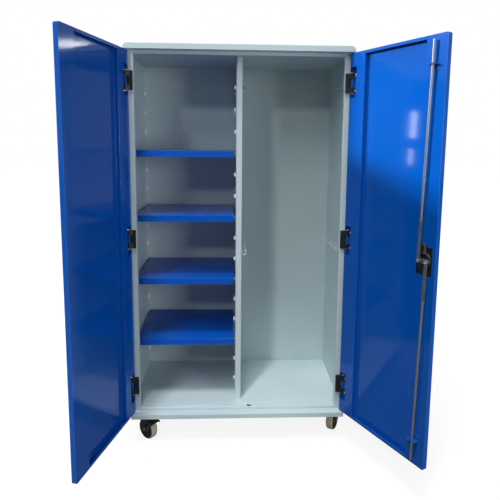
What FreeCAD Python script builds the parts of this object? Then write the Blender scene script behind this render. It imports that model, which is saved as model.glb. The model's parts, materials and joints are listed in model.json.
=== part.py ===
import FreeCAD, Part
import os
import re
import Sketcher

# Two-door steel cabinet on casters, in millimetres. The origin is on the floor under the middle of the
# base, the front faces -Y and +Z is up. The doors stand open and the lock rods are drawn in.

SIZES = {
    # overall
    "body_w": 1000,
    "body_d": 525,
    "base_h": 23,
    "lip_h": 16,
    "open_h": 1624,
    "rail_h": 16,
    "cap_h": 25,
    "stile_w": 39,
    "front_inset": 35,
    "side_inset": 2,
    # sheet metal of the carcass
    "gauge": 1,
    "plate_gauge": 1.5,
    "bend": 1.5,
    "stile_return": 25,
    "stile_lip": 12,
    "back_flange": 20,
    "panel_gap": 0.5,
    "cap_round": 20,
    "cap_flange": 60,
    "edge_round": 2.5,
    "base_round": 6,
    "seat_gauge": 3,
    "seat_margin": 12,
    "slot_play": 5,
    "slot_side": 1.5,
    # divider, uprights, shelves and clips of the left bay
    "div_w": 26,
    "div_setback": 68,
    "strip_w": 25,
    "strip_gauge": 1.5,
    "strip_in": 30,
    "strip_low": 58,
    "strip_gap": 4,
    "tab_h": 12,
    "tab_out": 8,
    "tab_gauge": 1.5,
    "tab_first": 98,
    "tab_pitch": 100,
    "tab_count": 16,
    "tabs_below": 2,
    "tabs_between": 3,
    "tab_play": 0.2,
    "window_w": 9,
    "shelf_play": 1.5,
    "shelf_back_gap": 10,
    "shelf_h": 30,
    "shelf_side_h": 20,
    "shelf_return": 15,
    "shelf_rise": 12,
    "shelf_round": 3,
    "clip_w": 20,
    "clip_gauge": 1.5,
    "clip_reach": 18,
    "clip_over": 10,
    # hooks and hangers of the right bay
    "hook_level": 716,
    "hook_strip_h": 25,
    "hook_strip_gauge": 2,
    "hook_start": 60,
    "hook_margin": 20,
    "hook_pitch": 68,
    "hook_count": 6,
    "hook_reach": 20,
    "hook_rise": 16,
    "hook_bar": 4,
    "hook_bend": 3,
    "hanger_level": 1510,
    "hanger_h": 80,
    "hanger_start": 140,
    "hanger_len": 150,
    "hanger_reach": 20,
    "hanger_gauge": 1.5,
    # doors
    "door_depth": 20,
    "door_gauge": 1,
    "door_clear": 2,
    "door_gap": 3,
    "door_meet": 3,
    "door_side": 1.5,
    "door_lip": 12,
    "door_round": 1.5,
    "door_corner": 8,
    "channel_w": 90,
    "edge_channel_w": 94,
    "channel_foot": 12,
    "open_left": 104,
    "open_right": 118,
    # hinges
    "pivot_in": 4.5,
    "hinge_end": 113,
    "hinge_h": 83,
    "hinge_play": 1,
    "hinge_gap": 1.3,
    "cut_gap": 5.5,
    "cut_end": 25,
    "wall_end": 4,
    "arm_h": 23,
    "block_w": 25,
    "block_off": 5,
    "block_d": 8,
    "knuckle_r": 4.2,
    "hinge_pin_r": 3,
    "pin_play": 0.05,
    "pin_head_r": 4,
    "pin_head_h": 1.5,
    "leaf_w": 36,
    "leaf_over": 3,
    "leaf_gauge": 1.5,
    "screw_r": 2.5,
    "screw_head_r": 4.2,
    "screw_head_h": 2.2,
    "screw_gap": 28,
    "screw_len": 14,
    "socket_r": 1.7,
    "socket_d": 1.2,
    "stud_r": 2,
    "stud_head_r": 3.6,
    "stud_head_h": 1.6,
    "stud_in": 20,
    "stud_gap": 24,
    # lock in the right door
    "lock_in": 51,
    "dish_w": 72,
    "dish_h": 109,
    "dish_wall": 2,
    "dish_flange": 7,
    "dish_flange_gauge": 1.5,
    "dish_sunk": 3,
    "dish_floor": 4,
    "dish_boss_r": 33,
    "dish_boss_h": 3,
    "dish_round": 5,
    "dish_play": 0.3,
    "dish_screw_r": 1.6,
    "dish_screw_head_r": 2.8,
    "dish_screw_head_h": 1.2,
    "dish_screw_len": 6,
    "grip_w": 20,
    "grip_gap": 5.5,
    "grip_h": 8,
    "grip_sunk": 0.5,
    "boss_r": 11,
    "boss_gap": 0.4,
    "spindle_r": 8,
    "stub_r": 4,
    "plug_r": 5.5,
    "plug_len": 10,
    "plug_proud": 0.4,
    "key_w": 1.6,
    "key_h": 7,
    "key_d": 3,
    "turn_play": 0.05,
    "cam_gauge": 3,
    "cam_gap": 1.5,
    "cam_r": 18,
    "cam_margin": 9,
    "cam_pin_r": 4,
    "cam_pin_head_r": 6,
    "cam_pin_head_h": 1.5,
    "nut_across": 13,
    "nut_h": 5,
    # lock rods
    "rod_r": 5,
    "rod_clear": 1,
    "rod_gap": 6,
    "rod_tip": 2,
    "rod_overlap": 16,
    "rod_play": 0.08,
    "flat_w": 14,
    "flat_gauge": 3,
    "flat_len": 175,
    "flat_end": 9,
    "flat_round": 6,
    "slide_gap": 0.3,
    "guide_end": 92,
    "guide_foot": 22,
    "guide_gauge": 2,
    "guide_lip": 6,
    "guide_wall": 10.5,
    "guide_play": 1,
    # casters
    "caster_in_x": 44,
    "caster_in_y": 86,
    "turn_front_left": 228,
    "turn_front_right": -30,
    "turn_back_left": 20,
    "turn_back_right": -15,
    "mount_w": 80,
    "mount_d": 84,
    "mount_gauge": 3,
    "mount_round": 8,
    "bolt_gap_x": 60,
    "bolt_gap_y": 60,
    "bolt_r": 4,
    "bolt_end": 2,
    "bolt_across": 13,
    "bolt_head_h": 5,
    "race_r": 25,
    "race_h": 8,
    "swivel_gap": 0.5,
    "king_r": 6,
    "king_nut_r": 10,
    "king_nut_h": 5,
    "crown_r": 27,
    "crown_h": 6.5,
    "crown_gauge": 4,
    "wheel_r": 50,
    "crown_clear": 6,
    "wheel_w": 32,
    "tread_round": 6,
    "rim_gauge": 8,
    "web_w": 12,
    "hub_r": 15,
    "wheel_side_gap": 3,
    "wheel_play": 0.05,
    "trail": 34,
    "leg_gauge": 3,
    "leg_end_r": 13,
    "leg_back": 24,
    "leg_front": 26,
    "axle_r": 5,
    "axle_across": 15,
    "axle_head_h": 5,
    "pedal_in": 22,
    "pedal_pin_drop": 12,
    "pedal_start": 18,
    "pedal_len": 70,
    "pedal_gap": 4,
    "pedal_drop": 10,
    "pedal_end": 7,
    "shoe_w": 24,
    "shoe_start": 24,
    "shoe_len": 12,
    "shoe_gap": 1,
    "pedal_pin_r": 3,
    "pedal_side_gap": 0.5,
    "pedal_gauge": 2,
}

# Places that follow from the sizes.
WORKED = {
    "caster_h": "2*wheel_r + crown_clear + crown_gauge + crown_h + swivel_gap + race_h + mount_gauge",
    "pivot_off": "door_depth - door_gauge - leaf_gauge - knuckle_r - hinge_gap",
    "hinge_cut_w": "pivot_in + block_off + block_w + cut_gap",
    "hinge_cut_h": "hinge_h + 2*cut_end",
    "hinge_wall_h": "hinge_h + 2*wall_end",
    "slot_w": "2*(rod_r + slot_play)",
    "slot_d": "2*(rod_r + slot_side)",
    "shelf_gap": "strip_gauge + tab_out + shelf_play",
    "lock_u": "door_w - lock_in",
    "grip_len": "dish_w - 2*dish_wall - 2*grip_gap",
    "guide_w": "2*(guide_half + guide_wall)",
    "pedal_pin_up": "2*wheel_r - pedal_pin_drop",
    "pedal_rise": "pedal_pin_drop + pedal_gap",
    "front_y": "front_inset - body_d/2",
    "back_y": "body_d/2",
    "back_in": "back_y - gauge",
    "deck_rear": "back_in - gauge - panel_gap",
    "base_top": "caster_h + base_h",
    "floor_top": "base_top + lip_h",
    "mid_z": "floor_top + open_h/2",
    "open_top": "floor_top + open_h",
    "cap_under": "open_top + rail_h",
    "carcass_h": "cap_under - base_top",
    "half_open": "body_w/2 - stile_w",
    "side_x": "body_w/2 - side_inset",
    "wall_x": "side_x - gauge",
    "deck_x": "wall_x - panel_gap",
    "shelf_front": "front_y + div_setback",
    "shelf_back": "deck_rear - shelf_back_gap",
    "shelf_left": "-(wall_x - shelf_gap)",
    "shelf_right": "-(div_w/2 + shelf_gap)",
    "first_tab": "tab_first + tabs_below*tab_pitch",
    "shelf_step": "tabs_between*tab_pitch",
    "strip_front": "shelf_front + strip_in",
    "strip_back": "shelf_back - strip_in",
    "strip_top": "open_h - strip_gap",
    "hook_strip_len": "(hook_count - 1)*hook_pitch + 2*hook_margin",
    "edge_x": "body_w/2 - door_side",
    "door_w": "edge_x - door_meet/2",
    "pivot_x": "edge_x - pivot_in",
    "face_y": "pivot_off + door_clear",
    "pivot_y": "front_y - face_y",
    "door_out": "pivot_off - door_depth",
    "skin_in": "door_out + door_gauge",
    "door_top": "open_h/2 + rail_h - door_gap",
    "door_low": "-(open_h/2 + lip_h - door_gap)",
    "free_x": "pivot_in - door_w",
    "hinge_rise": "open_h/2 - hinge_end",
    "leaf_in": "skin_in + leaf_gauge",
    "middle_h": "hinge_h - 2*arm_h - 2*hinge_play",
    "block_x": "block_off + block_w/2",
    "lock_x": "pivot_in - lock_u",
    "rod_y": "cam_high + nut_h + rod_clear + flat_gauge/2",
    "rod_len": "open_h/2 - rod_gap",
    "guide_z": "open_h/2 - guide_end",
    "guide_tip": "rod_y + rod_r + guide_lip",
    "guide_half": "rod_r + guide_play + cam_r/4",
    "lean": "atan(cam_r/guide_z)",
    "dish_out": "door_out - dish_flange_gauge",
    "dish_in": "pivot_off - dish_sunk",
    "dish_deep": "dish_in - dish_floor",
    "grip_out": "dish_out + grip_sunk",
    "cam_low": "dish_in + dish_boss_h + cam_gap",
    "cam_high": "cam_low + cam_gauge",
    "flat_low": "rod_y - flat_gauge/2 - slide_gap",
    "flat_high": "rod_y + flat_gauge/2 + slide_gap",
    "caster_x": "body_w/2 - caster_in_x",
    "caster_y": "body_d/2 - caster_in_y",
    "mount_low": "caster_h - mount_gauge",
    "race_low": "mount_low - race_h",
    "crown_top": "race_low - swivel_gap",
    "crown_low": "crown_top - crown_h",
    "crown_under": "crown_low - crown_gauge",
    "leg_in": "wheel_w/2 + wheel_side_gap",
    "leg_out": "leg_in + leg_gauge",
    "pedal_side": "leg_out + pedal_side_gap",
    "pedal_out": "pedal_side + pedal_gauge",
}

doc = FreeCAD.newDocument("cabinet")
sheet = doc.addObject("Spreadsheet::Sheet", "dims")
for row, (name, number) in enumerate(SIZES.items(), start=1):
    sheet.set("A%d" % row, name)
    sheet.set("B%d" % row, str(number))
    sheet.setAlias("B%d" % row, name)
doc.recompute()

SHELVES = 4
parts = []


def full(text):
    """The expression written out in cells of the sheet alone."""
    def cell(match):
        word = match.group(0)
        if word in WORKED:
            return "(" + full(WORKED[word]) + ")"
        return "dims." + word if word in SIZES else word
    return re.sub(r"[a-z][a-z0-9_]*", cell, str(text))


def size(text):
    """The expression's value in millimetres or degrees."""
    return float(sheet.evalExpression(full(text)))


def bind(thing, prop, text):
    thing.setExpression(prop, full(text))


def step(x, y, z, axis=(0, 0, 1), angle="0"):
    """One placement: a shift and a turn about an axis, as an expression."""
    shift = "create(<<vector>>; %s; %s; %s)" % (full(x), full(y), full(z))
    about = "create(<<vector>>; %d; %d; %d)" % axis
    turn = "create(<<rotation>>; %s; %s)" % (about, full(angle))
    return "create(<<placement>>; %s; %s)" % (shift, turn)


def body(label, *steps):
    """A new sub-part, placed by a chain of steps."""
    made = doc.addObject("PartDesign::Body", label)
    made.Label = label
    made.AllowCompound = True
    if steps:
        made.setExpression("Placement", " * ".join(steps))
    parts.append(made)
    return made


def heading(start, end):
    """Direction from one point to another along an axis, as signs."""
    gaps = (size(end[0]) - size(start[0]), size(end[1]) - size(start[1]))
    return tuple((gap > 1e-6) - (gap < -1e-6) for gap in gaps)


def rect(x_low, y_low, x_high, y_high, radius=None):
    """Corners of a rectangle, all rounded by one radius if it is given."""
    round_off = () if radius is None else (radius,)
    spots = ((x_low, y_low), (x_high, y_low), (x_high, y_high), (x_low, y_high))
    return [spot + round_off for spot in spots]


def hexagon(x, y, across):
    """Corners of a hexagon, flat side up."""
    reach = "(%s)/2/cos(30)" % across
    return [("(%s) + %s*cos(%d)" % (x, reach, turn), "(%s) + %s*sin(%d)" % (y, reach, turn))
            for turn in range(0, 360, 60)]


def fold(path, thick, radius, hand=1):
    """Outline of a sheet folded along a path; the sheet lies left of the path for hand 1, right for -1."""
    legs = [heading(start, end) for start, end in zip(path, path[1:])]
    near = []
    far = []
    for index, (x, y) in enumerate(path):
        before = legs[max(index - 1, 0)]
        after = legs[min(index, len(legs) - 1)]
        across = {(-hand*leg[1], hand*leg[0]) for leg in (before, after)}
        shift_x = sum(side[0] for side in across)
        shift_y = sum(side[1] for side in across)
        turn = hand*(before[0]*after[1] - before[1]*after[0])
        wide = "%s + %s" % (radius, thick)
        rounds = {0: ((), ()), 1: ((wide,), (radius,)), -1: ((radius,), (wide,))}[turn]
        near.append((x, y) + rounds[0])
        moved = ["(%s) + %d*(%s)" % (place, shift, thick) for place, shift in ((x, shift_x), (y, shift_y))]
        far.append(tuple(moved) + rounds[1])
    return near + far[::-1]


def fix(sketch, geometry, end, x, y):
    """Holds a point of the sketch at its place."""
    for kind, text in (("DistanceX", x), ("DistanceY", y)):
        held = sketch.addConstraint(Sketcher.Constraint(kind, -1, 1, geometry, end, size(text)))
        sketch.setExpression("Constraints[%d]" % held, full(text))


def hold_radius(sketch, geometry, radius):
    held = sketch.addConstraint(Sketcher.Constraint("Radius", geometry, size(radius)))
    sketch.setExpression("Constraints[%d]" % held, full(radius))


def draw_circle(sketch, x, y, radius):
    centre = FreeCAD.Vector(size(x), size(y), 0)
    ring = sketch.addGeometry(Part.Circle(centre, FreeCAD.Vector(0, 0, 1), size(radius)))
    fix(sketch, ring, 3, x, y)
    hold_radius(sketch, ring, radius)


def draw_arc(sketch, entry, leave, centre, radius):
    """A round corner; returns the arc and which of its ends lies at the entry."""
    middle = FreeCAD.Vector(*map(size, centre), 0)
    first = FreeCAD.Vector(*map(size, entry), 0) - middle
    last = FreeCAD.Vector(*map(size, leave), 0) - middle
    forward = first.cross(last).z > 0
    ends = (first, last) if forward else (last, first)
    flat = FreeCAD.Vector(1, 0, 0)
    angles = [flat.getAngle(end) if end.y >= 0 else -flat.getAngle(end) for end in ends]
    circle = Part.Circle(middle, FreeCAD.Vector(0, 0, 1), size(radius))
    arc = sketch.addGeometry(Part.ArcOfCircle(circle, angles[0], angles[1]))
    hold_radius(sketch, arc, radius)
    return arc, (1, 2) if forward else (2, 1)


def draw_outline(sketch, corners):
    """A closed outline through corners (x, y) or (x, y, radius)."""
    spots = []
    for index, (x, y, *rounded) in enumerate(corners):
        if not rounded:
            spots.append(((x, y), (x, y), None, None))
            continue
        radius = rounded[0]
        back = heading((x, y), corners[index - 1])
        ahead = heading((x, y), corners[(index + 1) % len(corners)])
        pushes = (back, ahead, (back[0] + ahead[0], back[1] + ahead[1]))
        shifted = [("(%s) + %d*(%s)" % (x, push[0], radius), "(%s) + %d*(%s)" % (y, push[1], radius))
                   for push in pushes]
        spots.append((*shifted, radius))
    lines = []
    for index, spot in enumerate(spots):
        start = FreeCAD.Vector(*map(size, spot[1]), 0)
        end = FreeCAD.Vector(*map(size, spots[(index + 1) % len(spots)][0]), 0)
        lines.append(sketch.addGeometry(Part.LineSegment(start, end)))
    for index, (entry, leave, centre, radius) in enumerate(spots):
        before = lines[index - 1]
        after = lines[index]
        fix(sketch, after, 1, *leave)
        if radius is None:
            sketch.addConstraint(Sketcher.Constraint("Coincident", before, 2, after, 1))
            continue
        fix(sketch, before, 2, *entry)
        arc, (first, last) = draw_arc(sketch, entry, leave, centre, radius)
        sketch.addConstraint(Sketcher.Constraint("Coincident", before, 2, arc, first))
        sketch.addConstraint(Sketcher.Constraint("Coincident", arc, last, after, 1))


def origin_feature(owner, role):
    return next(item for item in owner.Origin.OriginFeatures if item.Role == role)


def new_sketch(owner, plane, level, loops):
    """A sketch at a level along the plane's axis; a loop is a list of corners or one circle."""
    sketch = owner.newObject("Sketcher::SketchObject", owner.Name + "_sketch")
    sketch.AttachmentSupport = [(origin_feature(owner, plane + "_Plane"), "")]
    sketch.MapMode = "FlatFace"
    bind(sketch, "AttachmentOffset.Base.z", "-(%s)" % level if plane == "XZ" else level)
    for loop in loops:
        if isinstance(loop, tuple):
            draw_circle(sketch, *loop)
        else:
            draw_outline(sketch, loop)
    return sketch


def prism(owner, plane, low, high, loops, cut=False):
    """Adds, or cuts away, what the loops enclose between two levels along the plane's axis."""
    sketch = new_sketch(owner, plane, "((%s) + (%s))/2" % (low, high), loops)
    kind = "Pocket" if cut else "Pad"
    feature = owner.newObject("PartDesign::" + kind, owner.Name + "_" + kind.lower())
    feature.Profile = sketch
    feature.SideType = "Symmetric"
    bind(feature, "Length", "(%s) - (%s)" % (high, low))
    doc.recompute()
    return feature


def pattern(owner, feature, axis, length, count):
    """Repeats a feature along an axis."""
    row_of = owner.newObject("PartDesign::LinearPattern", owner.Name + "_row")
    row_of.Originals = [feature]
    row_of.Direction = (origin_feature(owner, axis + "_Axis"), [""])
    bind(row_of, "Length", length)
    bind(row_of, "Occurrences", count)
    owner.Tip = row_of
    doc.recompute()


def soften(owner, radius, wanted):
    """Rounds the edges that the test picks."""
    base = owner.Tip
    names = ["Edge%d" % n for n, edge in enumerate(base.Shape.Edges, start=1) if wanted(edge)]
    rounding = owner.newObject("PartDesign::Fillet", owner.Name + "_round")
    rounding.Base = (base, names)
    bind(rounding, "Radius", radius)
    doc.recompute()


def lies(edge, axis, level):
    """True where the whole edge lies at a level along an axis, 0 to 2 for X to Z."""
    return all(abs(vertex.Point[axis] - size(level)) < 1e-4 for vertex in edge.Vertexes)


def along(edge, axis):
    """True for a straight edge that runs along an axis."""
    ends = [vertex.Point for vertex in edge.Vertexes]
    if len(ends) < 2:
        return False
    run = ends[1] - ends[0]
    return abs(run[axis]) > 1e-4 and abs(run.Length - abs(run[axis])) < 1e-4


def ordered(way, near, far):
    """Two levels mirrored for way -1, the lower one first."""
    return (near, far) if way > 0 else ("-(%s)" % far, "-(%s)" % near)


def make_top_cap():
    """Closed cap with rounded ends and a return flange all round its underside."""
    cap = body("top_cap", step("0", "0", "cap_under"))
    prism(cap, "XZ", "-body_d/2", "body_d/2", [[
        ("-body_w/2", "0"), ("body_w/2", "0"),
        ("body_w/2", "cap_h", "cap_round"), ("-body_w/2", "cap_h", "cap_round")]])
    soften(cap, "edge_round", lambda edge: along(edge, 0) and lies(edge, 2, "cap_h"))
    inner_x = "body_w/2 - plate_gauge"
    inner_round = "cap_round - plate_gauge"
    prism(cap, "XZ", "-body_d/2 + plate_gauge", "body_d/2 - plate_gauge", [[
        ("-(%s)" % inner_x, "plate_gauge"), (inner_x, "plate_gauge"),
        (inner_x, "cap_h - plate_gauge", inner_round),
        ("-(%s)" % inner_x, "cap_h - plate_gauge", inner_round)]], cut=True)
    prism(cap, "XY", "0", "plate_gauge", [rect(
        "cap_flange - body_w/2", "cap_flange - body_d/2",
        "body_w/2 - cap_flange", "body_d/2 - cap_flange")], cut=True)


def caster_spots():
    return [("%d*(caster_x)" % across, "%d*(caster_y)" % deep)
            for deep in (-1, 1) for across in (-1, 1)]


def bolt_spots():
    return [("%s + %d*bolt_gap_x/2" % (x, across), "%s + %d*bolt_gap_y/2" % (y, deep))
            for x, y in caster_spots() for across in (-1, 1) for deep in (-1, 1)]


def make_base_frame():
    """Upturned tray with a drilled seat plate for a caster in each corner."""
    base = body("base_frame", step("0", "0", "caster_h"))
    prism(base, "XY", "0", "base_h", [rect(
        "-body_w/2", "-body_d/2", "body_w/2", "body_d/2", "base_round")])
    soften(base, "edge_round", lambda edge: lies(edge, 2, "base_h"))
    prism(base, "XY", "0", "base_h - plate_gauge", [rect(
        "plate_gauge - body_w/2", "plate_gauge - body_d/2",
        "body_w/2 - plate_gauge", "body_d/2 - plate_gauge", "base_round - plate_gauge")], cut=True)
    seats = []
    for across in (-1, 1):
        for deep in (-1, 1):
            x_near = "%d*(caster_x - mount_w/2 - seat_margin)" % across
            x_far = "%d*(body_w/2 - plate_gauge/2)" % across
            y_near = "%d*(caster_y - mount_d/2 - seat_margin)" % deep
            y_far = "%d*(body_d/2 - plate_gauge/2)" % deep
            seats.append([(x_near, y_near), (x_far, y_near),
                          (x_far, y_far, "base_round"), (x_near, y_far)])
    prism(base, "XY", "0", "seat_gauge", seats)
    prism(base, "XY", "0", "seat_gauge", [(x, y, "bolt_r") for x, y in bolt_spots()], cut=True)


def make_deck(label, level, height, slot_low, slot_high):
    """Floor pan or ceiling: a sheet between the walls with a front fold and a rear fold."""
    deck = body(label, step("0", "0", level))
    stile_back = "front_y + stile_return + panel_gap"
    prism(deck, "XY", height + " - gauge", height, [[
        ("-half_open", "front_y + gauge + bend"), ("half_open", "front_y + gauge + bend"),
        ("half_open", stile_back), ("deck_x", stile_back),
        ("deck_x", "deck_rear"), ("-deck_x", "deck_rear"),
        ("-deck_x", stile_back), ("-half_open", stile_back)]])
    prism(deck, "YZ", "-half_open", "half_open", [fold([
        ("front_y + stile_return", "0"), ("front_y", "0"),
        ("front_y", height), ("front_y + stile_return", height)], "gauge", "bend", hand=-1)])
    prism(deck, "XZ", "deck_rear - gauge", "deck_rear", [rect("-deck_x", "0", "deck_x", height)])
    slot_x = "pivot_x + lock_x"
    slot_y = "pivot_y + rod_y"
    prism(deck, "XY", slot_low, slot_high, [rect(
        "%s - slot_w/2" % slot_x, "%s - slot_d/2" % slot_y,
        "%s + slot_w/2" % slot_x, "%s + slot_d/2" % slot_y, "slot_d/4")], cut=True)


def hinge_levels():
    """Heights of the three hinges from the middle of the opening."""
    return ["-(hinge_rise)", "0", "hinge_rise"]


def screw_spots(side):
    """Places of the hinge block screws on a stile, from the middle of the opening."""
    return [("%d*(pivot_x - block_x)" % side, "%s + %d*screw_gap/2" % (level, way))
            for level in hinge_levels() for way in (-1, 1)]


def make_side_panel(label, side):
    """Wall, front stile and rear flange folded from one sheet."""
    panel = body(label, step("0", "0", "base_top"))
    path = [("side_x - back_flange", "back_in"), ("side_x", "back_in"), ("side_x", "front_y"),
            ("half_open", "front_y"), ("half_open", "front_y + stile_return"),
            ("half_open + stile_lip", "front_y + stile_return")]
    path = [("%d*(%s)" % (side, x), y) for x, y in path]
    prism(panel, "XY", "0", "carcass_h", [fold(path, "gauge", "bend", hand=-side)])
    prism(panel, "XZ", "front_y - gauge", "front_y + 2*gauge", [
        (x, "%s + mid_z - base_top" % z, "screw_r") for x, z in screw_spots(side)], cut=True)


def make_back_panel():
    panel = body("back_panel", step("0", "0", "base_top"))
    prism(panel, "XZ", "back_in", "back_y", [rect("-side_x", "0", "side_x", "carcass_h", "base_round")])


def make_divider():
    """Box-folded wall between the bays."""
    wall = body("divider", step("0", "0", "floor_top"))
    rear = "deck_rear - gauge"
    prism(wall, "XY", "0", "open_h + rail_h - gauge", [
        rect("-div_w/2", "shelf_front", "div_w/2", rear, "bend + gauge"),
        rect("gauge - div_w/2", "shelf_front + gauge", "div_w/2 - gauge", rear + " - gauge", "bend")])


def make_uprights(label, face, way):
    """Two upright strips, each with a row of lanced tabs, on a face that looks along way."""
    strips = body(label, step("0", "0", "floor_top"))
    spots = ("strip_front", "strip_back")
    out = "%s + %d*strip_gauge" % (face, way)
    tip = "%s + %d*tab_out" % (out, way)
    wall = (face, out) if way > 0 else (out, face)
    tabs = (face, tip) if way > 0 else (tip, face)
    prism(strips, "YZ", *wall, [rect(
        "%s - strip_w/2" % y, "strip_low", "%s + strip_w/2" % y, "strip_top") for y in spots])
    lance = prism(strips, "YZ", *wall, [rect(
        "%s + tab_gauge/2" % y, "tab_first - tab_h/2", "%s + tab_gauge/2 + window_w" % y,
        "tab_first + tab_h/2") for y in spots], cut=True)
    pattern(strips, lance, "Z", "(tab_count - 1)*tab_pitch", "tab_count")
    first = prism(strips, "YZ", *tabs, [rect(
        "%s - tab_gauge/2" % y, "tab_first - tab_h/2", "%s + tab_gauge/2" % y, "tab_first + tab_h/2")
        for y in spots])
    pattern(strips, first, "Z", "(tab_count - 1)*tab_pitch", "tab_count")


def make_shelf(number):
    """Shelf with a deep front fold and lower folds on the other sides; its top is at Z 0."""
    level = "floor_top + first_tab + shelf_rise + %d*shelf_step" % (number - 1)
    shelf = body("shelf_%d" % number, step("0", "0", level))
    prism(shelf, "XY", "-shelf_h", "0", [rect(
        "shelf_left", "shelf_front", "shelf_right", "shelf_back", "shelf_round")])
    soften(shelf, "gauge", lambda edge: lies(edge, 2, "0"))
    prism(shelf, "XY", "-shelf_h", "-gauge", [rect(
        "shelf_left + gauge", "shelf_front + gauge", "shelf_right - gauge", "shelf_back - gauge",
        "shelf_round - gauge")], cut=True)
    prism(shelf, "XY", "-shelf_h - gauge", "-shelf_side_h", [rect(
        "shelf_left - gauge", "shelf_front + shelf_return", "shelf_right + gauge", "shelf_back + gauge")],
        cut=True)
    prism(shelf, "XY", "-shelf_h", "gauge - shelf_h", [rect(
        "shelf_left + gauge/2", "shelf_front + gauge/2", "shelf_right - gauge/2",
        "shelf_front + shelf_return")])


def make_shelf_clips():
    """Clips that hang on the tabs and carry the shelf ends, four to a shelf."""
    clips = body("shelf_clips", step("0", "0", "floor_top"))
    tabs = ["first_tab + %d*shelf_step" % number for number in range(SHELVES)]
    spots = [(y, z) for z in tabs for y in ("strip_front", "strip_back")]
    seat = "shelf_rise - shelf_side_h"
    for face, way in (("-wall_x + strip_gauge", 1), ("-div_w/2 - strip_gauge", -1)):
        back = "%s + %d*clip_gauge" % (face, way)
        reach = "%s + %d*clip_reach" % (face, way)
        plate = (face, back) if way > 0 else (back, face)
        ledge = (face, reach) if way > 0 else (reach, face)
        prism(clips, "YZ", *plate, [rect(
            "%s - clip_w/2" % y, "%s + %s - clip_gauge" % (z, seat),
            "%s + clip_w/2" % y, "%s + clip_over" % z) for y, z in spots])
        prism(clips, "YZ", *ledge, [rect(
            "%s - clip_w/2" % y, "%s + %s - clip_gauge" % (z, seat),
            "%s + clip_w/2" % y, "%s + %s" % (z, seat)) for y, z in spots])
        prism(clips, "YZ", *plate, [rect(
            "%s - tab_gauge/2 - tab_play" % y, "%s - tab_h/2 - tab_play" % z,
            "%s + tab_gauge/2 + tab_play" % y, "%s + tab_h/2 + tab_play" % z) for y, z in spots], cut=True)


def make_hook_rail(label, face, way):
    """Strip with a row of upturned hooks, on a face that looks along way."""
    rail = body(label, step("0", "front_y + hook_start", "floor_top + hook_level"))
    out = "%s + %d*hook_strip_gauge" % (face, way)
    tip = "%s + %d*hook_reach" % (out, way)
    wall = (face, out) if way > 0 else (out, face)
    prism(rail, "YZ", *wall, [rect("0", "0", "hook_strip_len", "hook_strip_h", "hook_bend")])
    bar = fold([(out, "hook_bend"), (tip, "hook_bend"), (tip, "hook_bend + hook_rise")],
               "hook_bar", "hook_bend", hand=way)
    hook = prism(rail, "XZ", "hook_margin - hook_bar/2", "hook_margin + hook_bar/2", [bar])
    pattern(rail, hook, "Y", "(hook_count - 1)*hook_pitch", "hook_count")


def make_hanger_brackets():
    """Two angle brackets that face each other near the top of the right bay."""
    pair = body("hanger_brackets", step("0", "front_y + hanger_start", "floor_top + hanger_level"))
    for face, way in (("wall_x", -1), ("div_w/2", 1)):
        tip = "%s + %d*hanger_reach" % (face, way)
        prism(pair, "XZ", "0", "hanger_len", [fold(
            [(face, "hanger_h"), (face, "0"), (tip, "0")], "hanger_gauge", "bend", hand=way)])


def make_hinge_blocks(label, side):
    """Blocks on a stile, each with two arms that carry the hinge pin."""
    blocks = body(label, step("%d*(pivot_x)" % side, "pivot_y", "mid_z"))
    plates = []
    holes = []
    for level in hinge_levels():
        plates.append(rect("%d*(-block_off - block_w)" % side, "%s - hinge_h/2" % level,
                           "%d*(-block_off)" % side, "%s + hinge_h/2" % level))
    for x, z in screw_spots(side):
        holes.append(("%s - %d*(pivot_x)" % (x, side), z, "screw_r"))
    prism(blocks, "XZ", "face_y - block_d", "face_y", plates)
    arm = [("-block_x", "face_y"), ("-knuckle_r", "face_y"), ("knuckle_r", "0"),
           ("0", "-knuckle_r"), ("-block_x", "face_y - block_d")]
    arm = [("%d*(%s)" % (side, x), y) for x, y in arm]
    for level in hinge_levels():
        for way in (-1, 1):
            near, far = ordered(way, "hinge_h/2 - arm_h", "hinge_h/2")
            low, high = "%s + %s" % (level, near), "%s + %s" % (level, far)
            prism(blocks, "XY", low, high, [arm])
            prism(blocks, "XY", low, high, [("0", "0", "knuckle_r")])
            prism(blocks, "XY", low, high, [("0", "0", "hinge_pin_r + pin_play")], cut=True)
    prism(blocks, "XZ", "face_y - block_d", "face_y", holes, cut=True)


def make_hinge_screws():
    """Socket screws through the hinge blocks into the stiles."""
    screws = body("hinge_screws", step("0", "front_y - block_d", "mid_z"))
    spots = screw_spots(-1) + screw_spots(1)
    prism(screws, "XZ", "-screw_head_h", "0", [(x, z, "screw_head_r") for x, z in spots])
    soften(screws, "screw_head_h/3", lambda edge: lies(edge, 1, "-screw_head_h"))
    prism(screws, "XZ", "0", "screw_len", [(x, z, "screw_r") for x, z in spots])
    prism(screws, "XZ", "-screw_head_h", "socket_d - screw_head_h", [
        hexagon(x, z, "2*socket_r") for x, z in spots], cut=True)


make_top_cap()
make_base_frame()
make_deck("floor_pan", "base_top", "lip_h", "lip_h - 2*gauge", "lip_h + gauge")
make_deck("ceiling_panel", "open_top", "rail_h", "-gauge", "2*gauge")
make_side_panel("left_side_panel", -1)
make_side_panel("right_side_panel", 1)
make_back_panel()
make_divider()
make_uprights("uprights_wall", "-wall_x", 1)
make_uprights("uprights_divider", "-div_w/2", -1)
for number in range(1, SHELVES + 1):
    make_shelf(number)
make_shelf_clips()
make_hook_rail("hook_rail_wall", "wall_x", -1)
make_hook_rail("hook_rail_divider", "div_w/2", 1)
make_hanger_brackets()
make_hinge_blocks("hinge_blocks_left", -1)
make_hinge_blocks("hinge_blocks_right", 1)
make_hinge_screws()


def door_step(side):
    """Placement of an open door; its own origin is on the hinge axis at the middle of the opening."""
    turn = "open_right" if side > 0 else "-open_left"
    return step("%d*(pivot_x)" % side, "pivot_y", "mid_z", angle=turn)


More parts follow.
